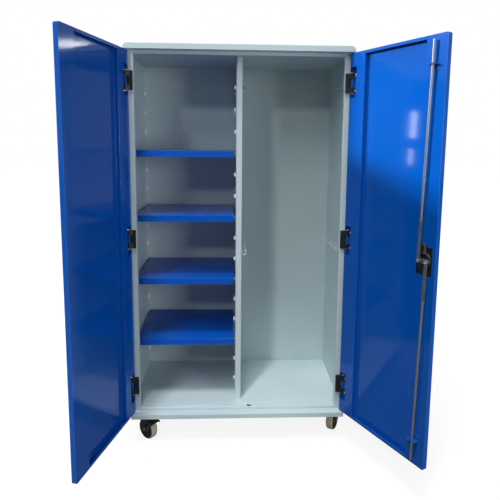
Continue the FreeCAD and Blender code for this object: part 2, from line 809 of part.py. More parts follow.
def mirrored(side, corners):
    """Corners of the right door's outline, flipped across for the left door."""
    return [("%d*(%s)" % (side, corner[0]),) + tuple(corner[1:]) for corner in corners]


def hinge_cuts(side, height):
    """Cut-outs of one height for the hinge blocks in a door's edge, as outlines seen from the front."""
    return [mirrored(side, rect(
        "pivot_in - hinge_cut_w", "%s - %s/2" % (level, height),
        "pivot_in + door_gauge", "%s + %s/2" % (level, height))) for level in hinge_levels()]


def make_door_skin(label, side):
    """Door sheet with edges folded back, and lips turned in along the top and the bottom."""
    skin = body(label, door_step(side))
    prism(skin, "XZ", "door_out", "pivot_off", [mirrored(side, rect(
        "free_x", "door_low", "pivot_in", "door_top", "door_corner"))])
    soften(skin, "door_round", lambda edge: lies(edge, 1, "door_out"))
    prism(skin, "XZ", "skin_in", "pivot_off", [mirrored(side, rect(
        "free_x + door_gauge", "door_low + door_gauge", "pivot_in - door_gauge",
        "door_top - door_gauge", "door_corner - door_gauge"))], cut=True)
    lips = [("door_low + door_gauge/2", "door_low + door_lip"),
            ("door_top - door_lip", "door_top - door_gauge/2")]
    prism(skin, "XZ", "pivot_off - door_gauge", "pivot_off", [mirrored(side, rect(
        "free_x + edge_channel_w", low, "pivot_in - channel_w", high)) for low, high in lips])
    prism(skin, "XZ", "skin_in", "pivot_off + door_gauge", hinge_cuts(side, "hinge_wall_h"), cut=True)
    if side > 0:
        prism(skin, "XZ", "door_out - door_gauge", "skin_in + door_gauge", [dish_hole()], cut=True)
        prism(skin, "XZ", "door_out - door_gauge", "skin_in + door_gauge", [
            (x, z, "dish_screw_r") for x, z in dish_screws("lock_x")], cut=True)


def folded_channel(label, side, edge, width, way):
    """Channel folded from one sheet along an upright edge of the door; it runs inward along way."""
    channel = body(label, door_step(side))
    outer = "%s + %d*door_gauge" % (edge, way)
    inner = "%s + %d*%s" % (edge, way, width)
    path = [(outer, "pivot_off"), (inner, "pivot_off"), (inner, "skin_in + door_gauge"),
            ("%s + %d*channel_foot" % (inner, way), "skin_in + door_gauge")]
    prism(channel, "XY", "door_low + door_gauge", "door_top - door_gauge", [fold(
        mirrored(side, path), "door_gauge", "bend", hand=-way*side)])
    level = "%d*(%s)" % (side, outer)
    soften(channel, "door_corner - door_gauge", lambda corner: along(corner, 1) and lies(corner, 0, level))
    return channel


def make_door_channel(label, side):
    """Stiffening channel along the hinge side, with a pocket open round each hinge block."""
    channel = folded_channel(label, side, "pivot_in", "channel_w", -1)
    prism(channel, "XZ", "skin_in", "pivot_off + door_gauge", hinge_cuts(side, "hinge_cut_h"), cut=True)


def dish_hole():
    """Outline of the opening that the lock housing sits in."""
    half_w = "dish_w/2 + dish_play"
    half_h = "dish_h/2 + dish_play"
    return rect("lock_x - (%s)" % half_w, "-(%s)" % half_h, "lock_x + %s" % half_w, half_h, "dish_round")


def make_edge_channel(label, side):
    """Stiffening channel along the free side; the right one is open over the lock housing."""
    channel = folded_channel(label, side, "free_x", "edge_channel_w", 1)
    if side > 0:
        prism(channel, "XZ", "pivot_off - 2*door_gauge", "pivot_off + door_gauge", [dish_hole()], cut=True)


def stud_spots(side):
    return [("%d*(-stud_in)" % side, "%s + %d*stud_gap/2" % (level, way))
            for level in hinge_levels() for way in (-1, 1)]


def make_hinge_leaves(label, side):
    """Leaves on the door skin, each with the middle knuckle of its hinge."""
    leaves = body(label, door_step(side))
    prism(leaves, "XZ", "skin_in", "leaf_in", [mirrored(side, rect(
        "leaf_over - leaf_w", "%s - hinge_h/2" % level, "leaf_over", "%s + hinge_h/2" % level))
        for level in hinge_levels()])
    prism(leaves, "XZ", "skin_in", "leaf_in", [
        (x, z, "stud_r") for x, z in stud_spots(side)], cut=True)
    for level in hinge_levels():
        low, high = "%s - middle_h/2" % level, "%s + middle_h/2" % level
        prism(leaves, "XY", low, high, [rect("-leaf_over", "leaf_in - leaf_gauge/2", "leaf_over", "0")])
        prism(leaves, "XY", low, high, [("0", "0", "knuckle_r")])
        prism(leaves, "XY", low, high, [("0", "0", "hinge_pin_r")], cut=True)


def make_hinge_pins(label, side):
    """Headed pins held by the door's knuckles, turning in the blocks' arms."""
    pins = body(label, door_step(side))
    for level in hinge_levels():
        low = "%s - hinge_h/2 - pin_head_h" % level
        head = "%s + hinge_h/2 + slide_gap" % level
        prism(pins, "XY", low, head, [("0", "0", "hinge_pin_r")])
        prism(pins, "XY", head, head + " + pin_head_h", [("0", "0", "pin_head_r")])


def make_leaf_screws(label, side):
    """Screws that hold the leaves against the skin."""
    screws = body(label, door_step(side))
    spots = stud_spots(side)
    prism(screws, "XZ", "leaf_in", "leaf_in + stud_head_h", [(x, z, "stud_head_r") for x, z in spots])
    soften(screws, "stud_head_h/2", lambda edge: lies(edge, 1, "leaf_in + stud_head_h"))
    prism(screws, "XZ", "skin_in", "leaf_in", [(x, z, "stud_r") for x, z in spots])


def dish_screws(x):
    """Places of the lock housing's screws around a middle at x."""
    return [("%s + %d*(dish_w + dish_flange)/2" % (x, across), "%d*(dish_h + dish_flange)/2" % up)
            for across in (-1, 1) for up in (-1, 1)]


def lock_step():
    """Placement of a lock piece; its own origin is on the handle's axis."""
    return step("lock_x", "0", "0")


def make_lock_housing():
    """Dish let into the right door, with its flange outside and the spindle's bearing in a round boss."""
    dish = body("lock_housing", door_step(1), lock_step())
    prism(dish, "XZ", "door_out", "dish_in", [rect(
        "-dish_w/2", "-dish_h/2", "dish_w/2", "dish_h/2", "dish_round")])
    soften(dish, "dish_round/3", lambda edge: lies(edge, 1, "dish_in"))
    prism(dish, "XZ", "dish_in", "dish_in + dish_boss_h", [("0", "0", "dish_boss_r")])
    soften(dish, "dish_boss_h/3", lambda edge: lies(edge, 1, "dish_in + dish_boss_h"))
    prism(dish, "XZ", "dish_out", "door_out", [rect(
        "-dish_w/2 - dish_flange", "-dish_h/2 - dish_flange",
        "dish_w/2 + dish_flange", "dish_h/2 + dish_flange", "dish_round + dish_flange")])
    prism(dish, "XZ", "dish_out", "dish_deep", [rect(
        "dish_wall - dish_w/2", "dish_wall - dish_h/2", "dish_w/2 - dish_wall", "dish_h/2 - dish_wall",
        "dish_round - dish_wall")], cut=True)
    prism(dish, "XZ", "dish_deep", "dish_in + dish_boss_h", [("0", "0", "spindle_r + turn_play")], cut=True)
    prism(dish, "XZ", "dish_out", "door_out", [
        (x, z, "dish_screw_r") for x, z in dish_screws("0")], cut=True)


def make_lock_screws():
    """Screws through the housing's flange and the door skin."""
    screws = body("lock_screws", door_step(1), lock_step())
    spots = dish_screws("0")
    prism(screws, "XZ", "dish_out - dish_screw_head_h", "dish_out", [
        (x, z, "dish_screw_head_r") for x, z in spots])
    soften(screws, "dish_screw_head_h/2", lambda edge: lies(edge, 1, "dish_out - dish_screw_head_h"))
    prism(screws, "XZ", "dish_out", "dish_out + dish_screw_len", [
        (x, z, "dish_screw_r") for x, z in spots])


def make_turn_handle():
    """Grip in the dish, boss, spindle and the stub for the cam, bored for the key plug."""
    handle = body("turn_handle", door_step(1), lock_step())
    prism(handle, "XZ", "grip_out", "grip_out + grip_h", [rect(
        "-grip_len/2", "-grip_w/2", "grip_len/2", "grip_w/2", "grip_w/2 - boss_gap")])
    soften(handle, "edge_round", lambda edge: lies(edge, 1, "grip_out"))
    prism(handle, "XZ", "grip_out + grip_h/2", "dish_deep - boss_gap", [("0", "0", "boss_r")])
    prism(handle, "XZ", "dish_deep - boss_gap", "cam_low", [("0", "0", "spindle_r")])
    prism(handle, "XZ", "cam_low", "cam_high + nut_h", [("0", "0", "stub_r")])
    prism(handle, "XZ", "grip_out", "grip_out + plug_len + boss_gap", [
        ("0", "0", "plug_r + turn_play")], cut=True)


def make_key_plug():
    plug = body("key_plug", door_step(1), lock_step())
    front = "grip_out - plug_proud"
    prism(plug, "XZ", front, "grip_out + plug_len", [("0", "0", "plug_r")])
    prism(plug, "XZ", front, front + " + key_d", [
        rect("-key_w/2", "-key_h/2", "key_w/2", "key_h/2")], cut=True)


def make_lock_cam():
    """Bar on the spindle with a shouldered and headed pin for each rod."""
    cam = body("lock_cam", door_step(1), lock_step())
    reach = "cam_r + cam_margin"
    half = "cam_margin + slide_gap"
    prism(cam, "XZ", "cam_low", "cam_high", [rect(
        "-(%s)" % reach, "-(%s)" % half, reach, half, "cam_margin")])
    prism(cam, "XZ", "cam_low", "cam_high", [("0", "0", "stub_r")], cut=True)
    spots = ["-cam_r", "cam_r"]
    prism(cam, "XZ", "cam_high", "flat_low", [(x, "0", "cam_pin_head_r") for x in spots])
    prism(cam, "XZ", "flat_low", "flat_high", [(x, "0", "cam_pin_r") for x in spots])
    prism(cam, "XZ", "flat_high", "flat_high + cam_pin_head_h", [(x, "0", "cam_pin_head_r") for x in spots])


def make_cam_nut():
    nut = body("cam_nut", door_step(1), lock_step())
    prism(nut, "XZ", "cam_high", "cam_high + nut_h", [hexagon("0", "0", "nut_across")])
    prism(nut, "XZ", "cam_high", "cam_high + nut_h", [("0", "0", "stub_r")], cut=True)


def make_rod(label, way):
    """Lock rod with a flattened end on a cam pin; its own origin is on that pin, way 1 runs up."""
    place = step("%d*cam_r" % way, "rod_y", "0", axis=(0, 1, 0), angle="-(lean)")
    rod = body(label, door_step(1), lock_step(), place)
    low, high = ordered(way, "-flat_end", "flat_len - flat_end")
    prism(rod, "XZ", "-flat_gauge/2", "flat_gauge/2", [rect(
        "-flat_w/2", low, "flat_w/2", high, "flat_round")])
    prism(rod, "XZ", "-flat_gauge/2", "flat_gauge/2", [("0", "0", "cam_pin_r + rod_play")], cut=True)
    low, high = ordered(way, "flat_len - flat_end - rod_overlap", "rod_len")
    prism(rod, "XY", low, high, [("0", "0", "rod_r")])
    tip = high if way > 0 else low
    soften(rod, "rod_tip", lambda edge: lies(edge, 2, tip))


def make_rod_guides():
    """Angle brackets on the edge channel, each with a long slot that a rod slides in."""
    guides = body("rod_guides", door_step(1), lock_step())
    for way in (-1, 1):
        level = "%d*(guide_z)" % way
        foot = "%s - %d*guide_foot" % (level, way)
        path = [("pivot_off", foot), ("pivot_off", level), ("guide_tip", level)]
        prism(guides, "YZ", "-guide_w/2", "guide_w/2", [fold(path, "guide_gauge", "bend", hand=-way)])
        low, high = ordered(way, "guide_z - 2*guide_gauge", "guide_z + guide_gauge")
        prism(guides, "XY", low, high, [rect(
            "-(guide_half)", "rod_y - rod_r - slide_gap", "guide_half", "rod_y + rod_r + slide_gap",
            "rod_r")], cut=True)


for word, side in (("left", -1), ("right", 1)):
    make_door_skin(word + "_door_skin", side)
    make_door_channel(word + "_door_channel", side)
    make_edge_channel(word + "_edge_channel", side)
    make_hinge_leaves(word + "_hinge_leaves", side)
    make_hinge_pins(word + "_hinge_pins", side)
    make_leaf_screws(word + "_leaf_screws", side)
make_rod_guides()
make_lock_housing()
make_lock_screws()
make_turn_handle()
make_lock_cam()
make_cam_nut()
make_key_plug()
make_rod("upper_rod", 1)
make_rod("lower_rod", -1)


def revolve(owner, corners):
    """A full turn of an outline in the XZ plane about the X axis."""
    turned = owner.newObject("PartDesign::Revolution", owner.Name + "_turned")
    turned.Profile = new_sketch(owner, "XZ", "0", [corners])
    turned.ReferenceAxis = (origin_feature(owner, "X_Axis"), [""])
    turned.Angle = 360
    doc.recompute()


def make_caster_plates():
    """Top plates, each with the fixed race and the kingpin that its fork turns on."""
    plates = body("caster_plates")
    spots = caster_spots()
    prism(plates, "XY", "mount_low", "caster_h", [rect(
        x + " - mount_w/2", y + " - mount_d/2", x + " + mount_w/2", y + " + mount_d/2", "mount_round")
        for x, y in spots])
    prism(plates, "XY", "mount_low", "caster_h", [(x, y, "bolt_r") for x, y in bolt_spots()], cut=True)
    prism(plates, "XY", "race_low", "mount_low", [(x, y, "race_r") for x, y in spots])
    foot = "crown_under - swivel_gap"
    prism(plates, "XY", foot, "race_low", [(x, y, "king_r") for x, y in spots])
    prism(plates, "XY", foot + " - king_nut_h", foot, [(x, y, "king_nut_r") for x, y in spots])


def make_caster_bolts():
    """Hexagon bolts up through the plates and the base's seats, with their nuts."""
    bolts = body("caster_bolts")
    spots = bolt_spots()
    seat = "caster_h + seat_gauge"
    prism(bolts, "XY", "mount_low - bolt_head_h", "mount_low", [
        hexagon(x, y, "bolt_across") for x, y in spots])
    prism(bolts, "XY", "mount_low", seat + " + bolt_head_h + bolt_end", [
        (x, y, "bolt_r") for x, y in spots])
    prism(bolts, "XY", seat, seat + " + bolt_head_h", [hexagon(x, y, "bolt_across") for x, y in spots])


def make_caster(word, spot, turn, braked):
    """Fork, axle and wheel of one swivel caster, and the pedal of a braked one."""
    swivel = step(spot[0], spot[1], "0", angle=turn)
    hub = step("0", "trail", "wheel_r")
    fork = body("fork_" + word, swivel)
    prism(fork, "XY", "crown_low", "crown_top", [("0", "0", "crown_r")])
    prism(fork, "XY", "crown_under", "crown_low", [rect(
        "-leg_out", "-leg_back", "leg_out", "leg_front", "leg_end_r")])
    leg = [("-leg_back + leg_end_r", "crown_low"), ("leg_front", "crown_low"),
           ("trail + leg_end_r", "wheel_r"), ("trail - leg_end_r", "wheel_r"),
           ("-leg_back + leg_end_r", "crown_under")]
    for way in (-1, 1):
        low, high = ordered(way, "leg_in", "leg_out")
        prism(fork, "YZ", low, high, [leg])
        prism(fork, "YZ", low, high, [("trail", "wheel_r", "leg_end_r")])
    prism(fork, "XY", "crown_under", "crown_top", [("0", "0", "king_r + turn_play")], cut=True)
    prism(fork, "YZ", "-leg_out", "leg_out", [("trail", "wheel_r", "axle_r")], cut=True)
    axle = body("axle_" + word, swivel, hub)
    prism(axle, "YZ", "-leg_out - axle_head_h", "leg_out + axle_head_h", [("0", "0", "axle_r")])
    prism(axle, "YZ", "-leg_out - axle_head_h", "-leg_out", [hexagon("0", "0", "axle_across")])
    prism(axle, "YZ", "leg_out", "leg_out + axle_head_h", [hexagon("0", "0", "axle_across")])
    wheel = body("wheel_" + word, swivel, hub)
    rim = "wheel_r - rim_gauge"
    bore = "axle_r + wheel_play"
    half = "wheel_w/2"
    web = "web_w/2"
    revolve(wheel, [
        ("-" + half, bore), (half, bore), (half, "hub_r"), (web, "hub_r"), (web, rim), (half, rim),
        (half, "wheel_r", "tread_round"), ("-" + half, "wheel_r", "tread_round"),
        ("-" + half, rim), ("-" + web, rim), ("-" + web, "hub_r"), ("-" + half, "hub_r")])
    if braked:
        prism(fork, "YZ", "-leg_out", "leg_out", [("pedal_in", "pedal_pin_up", "pedal_pin_r + turn_play")],
              cut=True)
        make_pedal(word, swivel)


def make_pedal(word, swivel):
    """Brake pedal that straddles the fork, with a shoe over the wheel; its own origin is on its pivot."""
    pedal = body("pedal_" + word, swivel, step("0", "pedal_in", "pedal_pin_up"))
    tip = "pedal_rise - pedal_drop"
    top = [("pedal_len", tip + " + pedal_gauge"), ("pedal_start", "pedal_rise + pedal_gauge")]
    cheek = [("-pedal_end", "-pedal_end"), ("pedal_end", "-pedal_end"), ("pedal_len", "0"), *top,
             ("-pedal_end", "pedal_end")]
    for way in (-1, 1):
        low, high = ordered(way, "pedal_side", "pedal_out")
        prism(pedal, "YZ", low, high, [cheek])
        low, high = ordered(way, "leg_in", "pedal_side")
        prism(pedal, "YZ", low, high, [("0", "0", "pedal_pin_r")])
    prism(pedal, "YZ", "-pedal_out", "pedal_out", [
        [("pedal_start", "pedal_rise"), ("pedal_len", tip), *top]])
    ends = ["shoe_start", "shoe_start + shoe_len"]
    rises = ["%s + shoe_gap" % wheel_rise("pedal_in + %s - trail" % y) for y in ends]
    plate = ["pedal_rise - pedal_drop*(%s - pedal_start)/(pedal_len - pedal_start) + pedal_gauge/2" % y
             for y in ends]
    prism(pedal, "YZ", "-shoe_w/2", "shoe_w/2", [
        [(ends[0], rises[0]), (ends[1], rises[1]), (ends[1], plate[1]), (ends[0], plate[0])]])


def wheel_rise(ahead):
    """Height of the wheel's tread over the pedal's pivot, at a distance ahead of the axle."""
    return "wheel_r + sqrt(wheel_r*wheel_r - (%s)*(%s)) - pedal_pin_up" % (ahead, ahead)


make_caster_plates()
make_caster_bolts()
for word, spot in zip(("front_left", "front_right", "back_left", "back_right"), caster_spots()):
    make_caster(word, spot, "turn_" + word, word.startswith("front"))


os.makedirs("parts", exist_ok=True)
for part in doc.Objects:
    if "Invalid" in part.State or "Error" in part.State:
        raise RuntimeError("%s could not be made: %s" % (part.Label, part.State))
for part in parts:
    if part.Shape.isNull() or not part.Shape.isValid() or not part.Shape.Solids:
        raise RuntimeError("%s has no valid solid" % part.Label)
    part.Shape.exportStep("parts/%s.step" % part.Label)
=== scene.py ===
"""Finishes, small fittings and studio stage of a two-door steel cabinet on casters."""

import json
import math

import bpy
from mathutils import Matrix, Vector


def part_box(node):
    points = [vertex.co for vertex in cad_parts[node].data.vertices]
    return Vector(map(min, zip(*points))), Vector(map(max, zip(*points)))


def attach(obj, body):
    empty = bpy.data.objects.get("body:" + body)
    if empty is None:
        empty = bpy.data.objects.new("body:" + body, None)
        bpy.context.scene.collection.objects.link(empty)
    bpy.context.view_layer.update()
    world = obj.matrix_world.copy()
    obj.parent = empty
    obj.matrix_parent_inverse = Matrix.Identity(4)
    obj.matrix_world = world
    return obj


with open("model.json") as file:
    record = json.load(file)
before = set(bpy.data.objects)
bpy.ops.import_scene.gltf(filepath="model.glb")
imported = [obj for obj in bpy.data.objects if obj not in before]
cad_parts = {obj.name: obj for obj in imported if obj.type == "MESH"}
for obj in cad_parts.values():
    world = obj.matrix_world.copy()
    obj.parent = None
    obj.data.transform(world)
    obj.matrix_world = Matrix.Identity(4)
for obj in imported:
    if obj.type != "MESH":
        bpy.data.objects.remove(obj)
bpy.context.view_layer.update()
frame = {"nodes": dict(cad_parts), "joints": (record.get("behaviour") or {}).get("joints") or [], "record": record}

bl_info = {
    "name": "Cleaning cabinet",
    "version": (1, 0, 0),
    "blender": (4, 5, 0),
    "location": "View3D > Sidebar > Cabinet",
    "description": "Finishes, fittings and stage of a two-door steel cabinet on casters",
    "category": "Object",
}

JOINTS = {joint["name"]: joint for joint in frame["joints"]}
SLOTS = {part["node"]: part["material_slot"] for part in frame["record"]["subparts"]}
# The leaves of the hinges are painted with their doors
SLOTS.update(left_hinge_leaves="door_blue", right_hinge_leaves="door_blue")
LEFT_OPEN = JOINTS["left_door_hinge"]["range_deg"][1]
RIGHT_OPEN = -JOINTS["right_door_hinge"]["range_deg"][0]
CORNERS = ("front_left", "front_right", "back_left", "back_right")
BRAKED_CORNERS = CORNERS[:2]

# Places on a door in metres: along it from the hinge axis, inward from that axis and up from the lock
LOCK_X = -0.4415
ROD_Y = 0.024
ROD_GUIDE_Z = 0.720
LEAF_X = 0.0165
HINGE_LEVELS = (-0.699, 0.0, 0.699)

# Slack for finding a face or an edge by its place
NEAR = 1e-4
# Turns what points up so that it points out of a door's inner face
OUT_OF_DOOR = Matrix.Rotation(math.radians(-90), 4, "X")
WHITE = (1, 1, 1, 1)


class CabinetColours(bpy.types.PropertyGroup):
    """Colours of the finishes."""

    grey: bpy.props.FloatVectorProperty(
        name="Carcass grey", description="Light grey powder coat", subtype="COLOR", size=3,
        min=0, max=1, default=(0.52, 0.63, 0.655))
    blue: bpy.props.FloatVectorProperty(
        name="Door blue", description="Bright blue powder coat of the doors", subtype="COLOR", size=3,
        min=0, max=1, default=(0.0015, 0.088, 0.44))
    shelf_blue: bpy.props.FloatVectorProperty(
        name="Shelf blue", description="Bright blue powder coat of the shelves", subtype="COLOR", size=3,
        min=0, max=1, default=(0.0012, 0.084, 0.47))
    # Painted highlight: the tab lips are coated this pale white to stand in for the light they catch
    white: bpy.props.FloatVectorProperty(
        name="Tab white", description="White powder coat of the tab lips", subtype="COLOR", size=3,
        min=0, max=1, default=(0.86, 0.90, 0.93))
    zinc: bpy.props.FloatVectorProperty(
        name="Zinc", description="Zinc plate of rods, screws and plates", subtype="COLOR", size=3,
        min=0, max=1, default=(0.25, 0.263, 0.285))
    chrome: bpy.props.FloatVectorProperty(
        name="Chrome", description="Bright plate of the key plug", subtype="COLOR", size=3,
        min=0, max=1, default=(0.72, 0.72, 0.73))
    spring: bpy.props.FloatVectorProperty(
        name="Spring steel", description="Dark steel of the lock's snap ring", subtype="COLOR", size=3,
        min=0, max=1, default=(0.11, 0.115, 0.12))
    black: bpy.props.FloatVectorProperty(
        name="Black", description="Black oxide, enamel and nylon", subtype="COLOR", size=3,
        min=0, max=1, default=(0.009, 0.0125, 0.0135))
    cream: bpy.props.FloatVectorProperty(
        name="Wheel cream", description="Cream nylon of the wheels", subtype="COLOR", size=3,
        min=0, max=1, default=(0.62, 0.56, 0.42))
    olive: bpy.props.FloatVectorProperty(
        name="Olive zinc", description="Yellow passivated zinc of the lock's guide block", subtype="COLOR",
        size=3, min=0, max=1, default=(0.20, 0.19, 0.12))


class CabinetSizes(bpy.types.PropertyGroup):
    """Sizes of the small fittings."""

    cover_radius: bpy.props.FloatProperty(
        name="Cover radius", description="Radius of a wheel cover at its rim", default=0.046, min=0.042,
        unit="LENGTH")
    rib_pitch: bpy.props.FloatProperty(
        name="Rib pitch", description="From one grip rib of a pedal to the next", default=0.008, min=0.004,
        unit="LENGTH")
    ring_radius: bpy.props.FloatProperty(
        name="Ring radius", description="Radius of the lock's snap ring", default=0.0302, min=0.02,
        unit="LENGTH")
    cap_radius: bpy.props.FloatProperty(
        name="Cap radius", description="Radius of a cap on the cam's pins", default=0.0064, min=0.005,
        unit="LENGTH")
    bezel_radius: bpy.props.FloatProperty(
        name="Bezel radius", description="Outer radius of the ring round the key plug", default=0.0082,
        min=0.006, unit="LENGTH")
    strap_width: bpy.props.FloatProperty(
        name="Strap width", description="Width of a hinge strap", default=0.021, min=0.012, unit="LENGTH")
    strap_height: bpy.props.FloatProperty(
        name="Strap height", description="Height of a hinge strap", default=0.0216, min=0.012, unit="LENGTH")
    grommet_width: bpy.props.FloatProperty(
        name="Grommet width", description="Width of a rod grommet along the door", default=0.033, min=0.02,
        unit="LENGTH")
    grommet_depth: bpy.props.FloatProperty(
        name="Grommet depth", description="Depth of a rod grommet across the door", default=0.0196,
        min=0.014, unit="LENGTH")
    tip_radius: bpy.props.FloatProperty(
        name="Hook tip radius", description="Radius of a hook's round tip", default=0.0036, min=0.003,
        unit="LENGTH")
    lip_reach: bpy.props.FloatProperty(
        name="Lip reach", description="How far a tab lip stands out from its upright", default=0.009,
        min=0.005, unit="LENGTH")
    lip_height: bpy.props.FloatProperty(
        name="Lip height", description="Height of a tab lip", default=0.017, min=0.008, unit="LENGTH")


class CabinetStage(bpy.types.PropertyGroup):
    """Camera and light of the studio."""

    camera_place: bpy.props.FloatVectorProperty(
        name="Camera place", description="Where the camera stands", subtype="TRANSLATION", size=3,
        unit="LENGTH", default=(-0.0301, -2.3631, 1.4143))
    camera_turn: bpy.props.FloatVectorProperty(
        name="Camera turn", description="Pitch, roll and heading of the camera", subtype="EULER", size=3,
        unit="ROTATION", default=(math.radians(82.6935), math.radians(-0.5396), math.radians(-2.2962)))
    lens: bpy.props.FloatProperty(
        name="Lens", description="Focal length for a 36 mm wide sensor", default=34.359, min=10, max=200,
        unit="CAMERA")
    shift: bpy.props.FloatVectorProperty(
        name="Shift", description="Lens shift across and up, in picture widths", size=2,
        default=(-0.00407, -0.09191))
    front_power: bpy.props.FloatProperty(
        name="Front light", description="Power of the light at the front left", default=50, min=0,
        unit="POWER")
    tall_power: bpy.props.FloatProperty(
        name="Tall light", description="Power of the tall light at the front left", default=260, min=0,
        unit="POWER")
    high_power: bpy.props.FloatProperty(
        name="High light", description="Power of the light high at the front", default=2000, min=0,
        unit="POWER")
    right_power: bpy.props.FloatProperty(
        name="Right light", description="Power of the low, wide light at the front right", default=49,
        min=0, unit="POWER")
    side_power: bpy.props.FloatProperty(
        name="Side light", description="Power of the light at the left", default=208, min=0, unit="POWER")
    glint_power: bpy.props.FloatProperty(
        name="Glint cards", description="Power of 100 square centimetres of a card that shines in the paint",
        default=0.42, min=0, unit="POWER")
    bay_power: bpy.props.FloatProperty(
        name="Bay cards", description="Power of the cards in the left bay that shine only in the paint",
        default=0.6, min=0, unit="POWER")
    fill: bpy.props.FloatProperty(
        name="Room light", description="Strength of the light from all round", default=0.13, min=0)


# Materials


class Nodes:
    """The node tree of a material or a world, with short calls for its nodes."""

    def __init__(self, owner):
        owner.use_nodes = True
        self.owner = owner
        self.tree = owner.node_tree

    def feed(self, socket, value):
        """Gives an input the output of another node or a fixed value."""
        if isinstance(value, bpy.types.NodeSocket):
            self.tree.links.new(value, socket)
        else:
            socket.default_value = value

    def add(self, kind, inputs, **settings):
        """A node with its settings and its inputs."""
        node = self.tree.nodes.new(kind)
        for key, value in settings.items():
            setattr(node, key, value)
        for key, value in inputs.items():
            self.feed(node.inputs[key], value)
        return node

    def maths(self, operation, first, second):
        return self.add("ShaderNodeMath", {0: first, 1: second}, operation=operation).outputs["Value"]

    def spread(self, value, low, high, start=0.3, end=0.7):
        """A value from start to end drawn to a range from low to high."""
        inputs = {"Value": value, "From Min": start, "From Max": end, "To Min": low, "To Max": high}
        return self.add("ShaderNodeMapRange", inputs).outputs["Result"]


class Finish(Nodes):
    """A material on the standard shader, with patterns that follow the piece."""

    def __init__(self, name):
        super().__init__(bpy.data.materials.new(name))
        self.shader = next(node for node in self.tree.nodes if node.type == "BSDF_PRINCIPLED")
        self.place = self.add("ShaderNodeTexCoord", {}).outputs["Object"]

    def noise(self, scale, detail=2.0, rough=0.5, stretch=(1, 1, 1)):
        """Noise at cells of about 1/scale metres, drawn out along an axis by stretch."""
        place = self.add("ShaderNodeMapping", {"Vector": self.place, "Scale": stretch}).outputs["Vector"]
        inputs = {"Vector": place, "Scale": scale, "Detail": detail, "Roughness": rough}
        return self.add("ShaderNodeTexNoise", inputs).outputs["Fac"]

    def mix(self, share, first, second):
        """Two colours mixed by a share."""
        inputs = {"Factor": share, "A": first, "B": second}
        return self.add("ShaderNodeMix", inputs, data_type="RGBA").outputs["Result"]

    def bump(self, height, strength, distance, under=None):
        inputs = {"Height": height, "Strength": strength, "Distance": distance}
        if under is not None:
            inputs["Normal"] = under
        return self.add("ShaderNodeBump", inputs).outputs["Normal"]

    def edges(self, radius):
        """1 along sharp edges, 0 on flat faces."""
        rounded = self.add("ShaderNodeBevel", {"Radius": radius}, samples=4).outputs["Normal"]
        flat = self.add("ShaderNodeNewGeometry", {}).outputs["Normal"]
        dot = self.add("ShaderNodeVectorMath", {0: rounded, 1: flat}, operation="DOT_PRODUCT")
        return self.spread(dot.outputs["Value"], 1.0, 0.0, start=0.90, end=0.995)

    def done(self, **inputs):
        """The material with these inputs of its shader, whose names have a low line for each blank."""
        for name, value in inputs.items():
            self.feed(self.shader.inputs[name.replace("_", " ")], value)
        return self.owner


def tone(colour, factor):
    return (*(min(1.0, part*factor) for part in colour), 1.0)


def powder_coat(name, colour, rough, shine):
    """Powder coat: orange peel, cloudy gloss, a slight drift of tone and paler edges, partly a thinner coat and
    partly a painted highlight.
    """
    finish = Finish(name)
    drift = finish.spread(finish.noise(scale=2.2, detail=3.0), 0.0, 1.0)
    base = finish.mix(drift, tone(colour, 0.95), tone(colour, 1.05))
    # Paler along sharp edges: partly the thinner coat there, partly a painted highlight
    thin_coat_and_highlight = finish.spread(finish.edges(radius=0.0012), 0.0, 0.35, start=0, end=1)
    thin_coat_and_highlight_tone = tone([0.6*part + 0.25 for part in colour], 1.0)
    clouds = finish.noise(scale=14.0, detail=4.0)
    peel = finish.bump(finish.noise(scale=260.0, detail=1.0), strength=0.04, distance=0.0003)
    waves = finish.bump(finish.noise(scale=6.0, detail=1.0), strength=0.04, distance=0.003, under=peel)
    return finish.done(
        Specular_IOR_Level=shine,
        Base_Color=finish.mix(thin_coat_and_highlight, base, thin_coat_and_highlight_tone),
        Roughness=finish.spread(clouds, rough*0.9, rough*1.15),
        Normal=waves)


def plated(name, colour, rough, along=(1, 1, 0.03), metal=1.0):
    """Plated steel: metal with cloudy gloss and fine drawing lines along one axis."""
    finish = Finish(name)
    clouds = finish.spread(finish.noise(scale=60.0, detail=4.0, rough=0.6), 0.0, 1.0)
    lines = finish.noise(scale=900.0, detail=3.0, rough=0.6, stretch=along)
    return finish.done(
        Metallic=metal,
        Base_Color=finish.mix(clouds, tone(colour, 0.82), tone(colour, 1.08)),
        Roughness=finish.spread(lines, rough*0.8, rough*1.25),
        Normal=finish.bump(lines, strength=0.08, distance=0.0004))


def black_metal(name, colour, rough):
    """Black oxide or enamel, worn to bare steel along its edges."""
    finish = Finish(name)
    bare_steel = (0.10, 0.105, 0.11, 1)
    wear = finish.spread(finish.noise(scale=180.0, detail=4.0), 0.0, 0.5)
    worn = finish.maths("MULTIPLY", finish.edges(radius=0.0008), wear)
    drift = finish.spread(finish.noise(scale=40.0, detail=3.0), 0.0, 1.0)
    base = finish.mix(drift, tone(colour, 0.8), tone(colour, 1.4))
    clouds = finish.noise(scale=90.0, detail=4.0)
    return finish.done(
        Specular_IOR_Level=0.3,
        Base_Color=finish.mix(worn, base, bare_steel),
        Roughness=finish.spread(clouds, rough*0.85, rough*1.2),
        Normal=finish.bump(finish.noise(scale=700.0), strength=0.10, distance=0.0004))


def moulded(name, colour, rough, grain=650.0):
    """Moulded plastic with a fine spark-eroded grain and faint flow clouds."""
    finish = Finish(name)
    flow = finish.spread(finish.noise(scale=30.0, detail=3.0, stretch=(1, 1, 0.4)), 0.0, 1.0)
    clouds = finish.noise(scale=120.0, detail=3.0)
    return finish.done(
        Specular_IOR_Level=0.3,
        Base_Color=finish.mix(flow, tone(colour, 0.86), tone(colour, 1.12)),
        Roughness=finish.spread(clouds, rough*0.9, rough*1.12),
        Normal=finish.bump(finish.noise(scale=grain), strength=0.14, distance=0.0004))


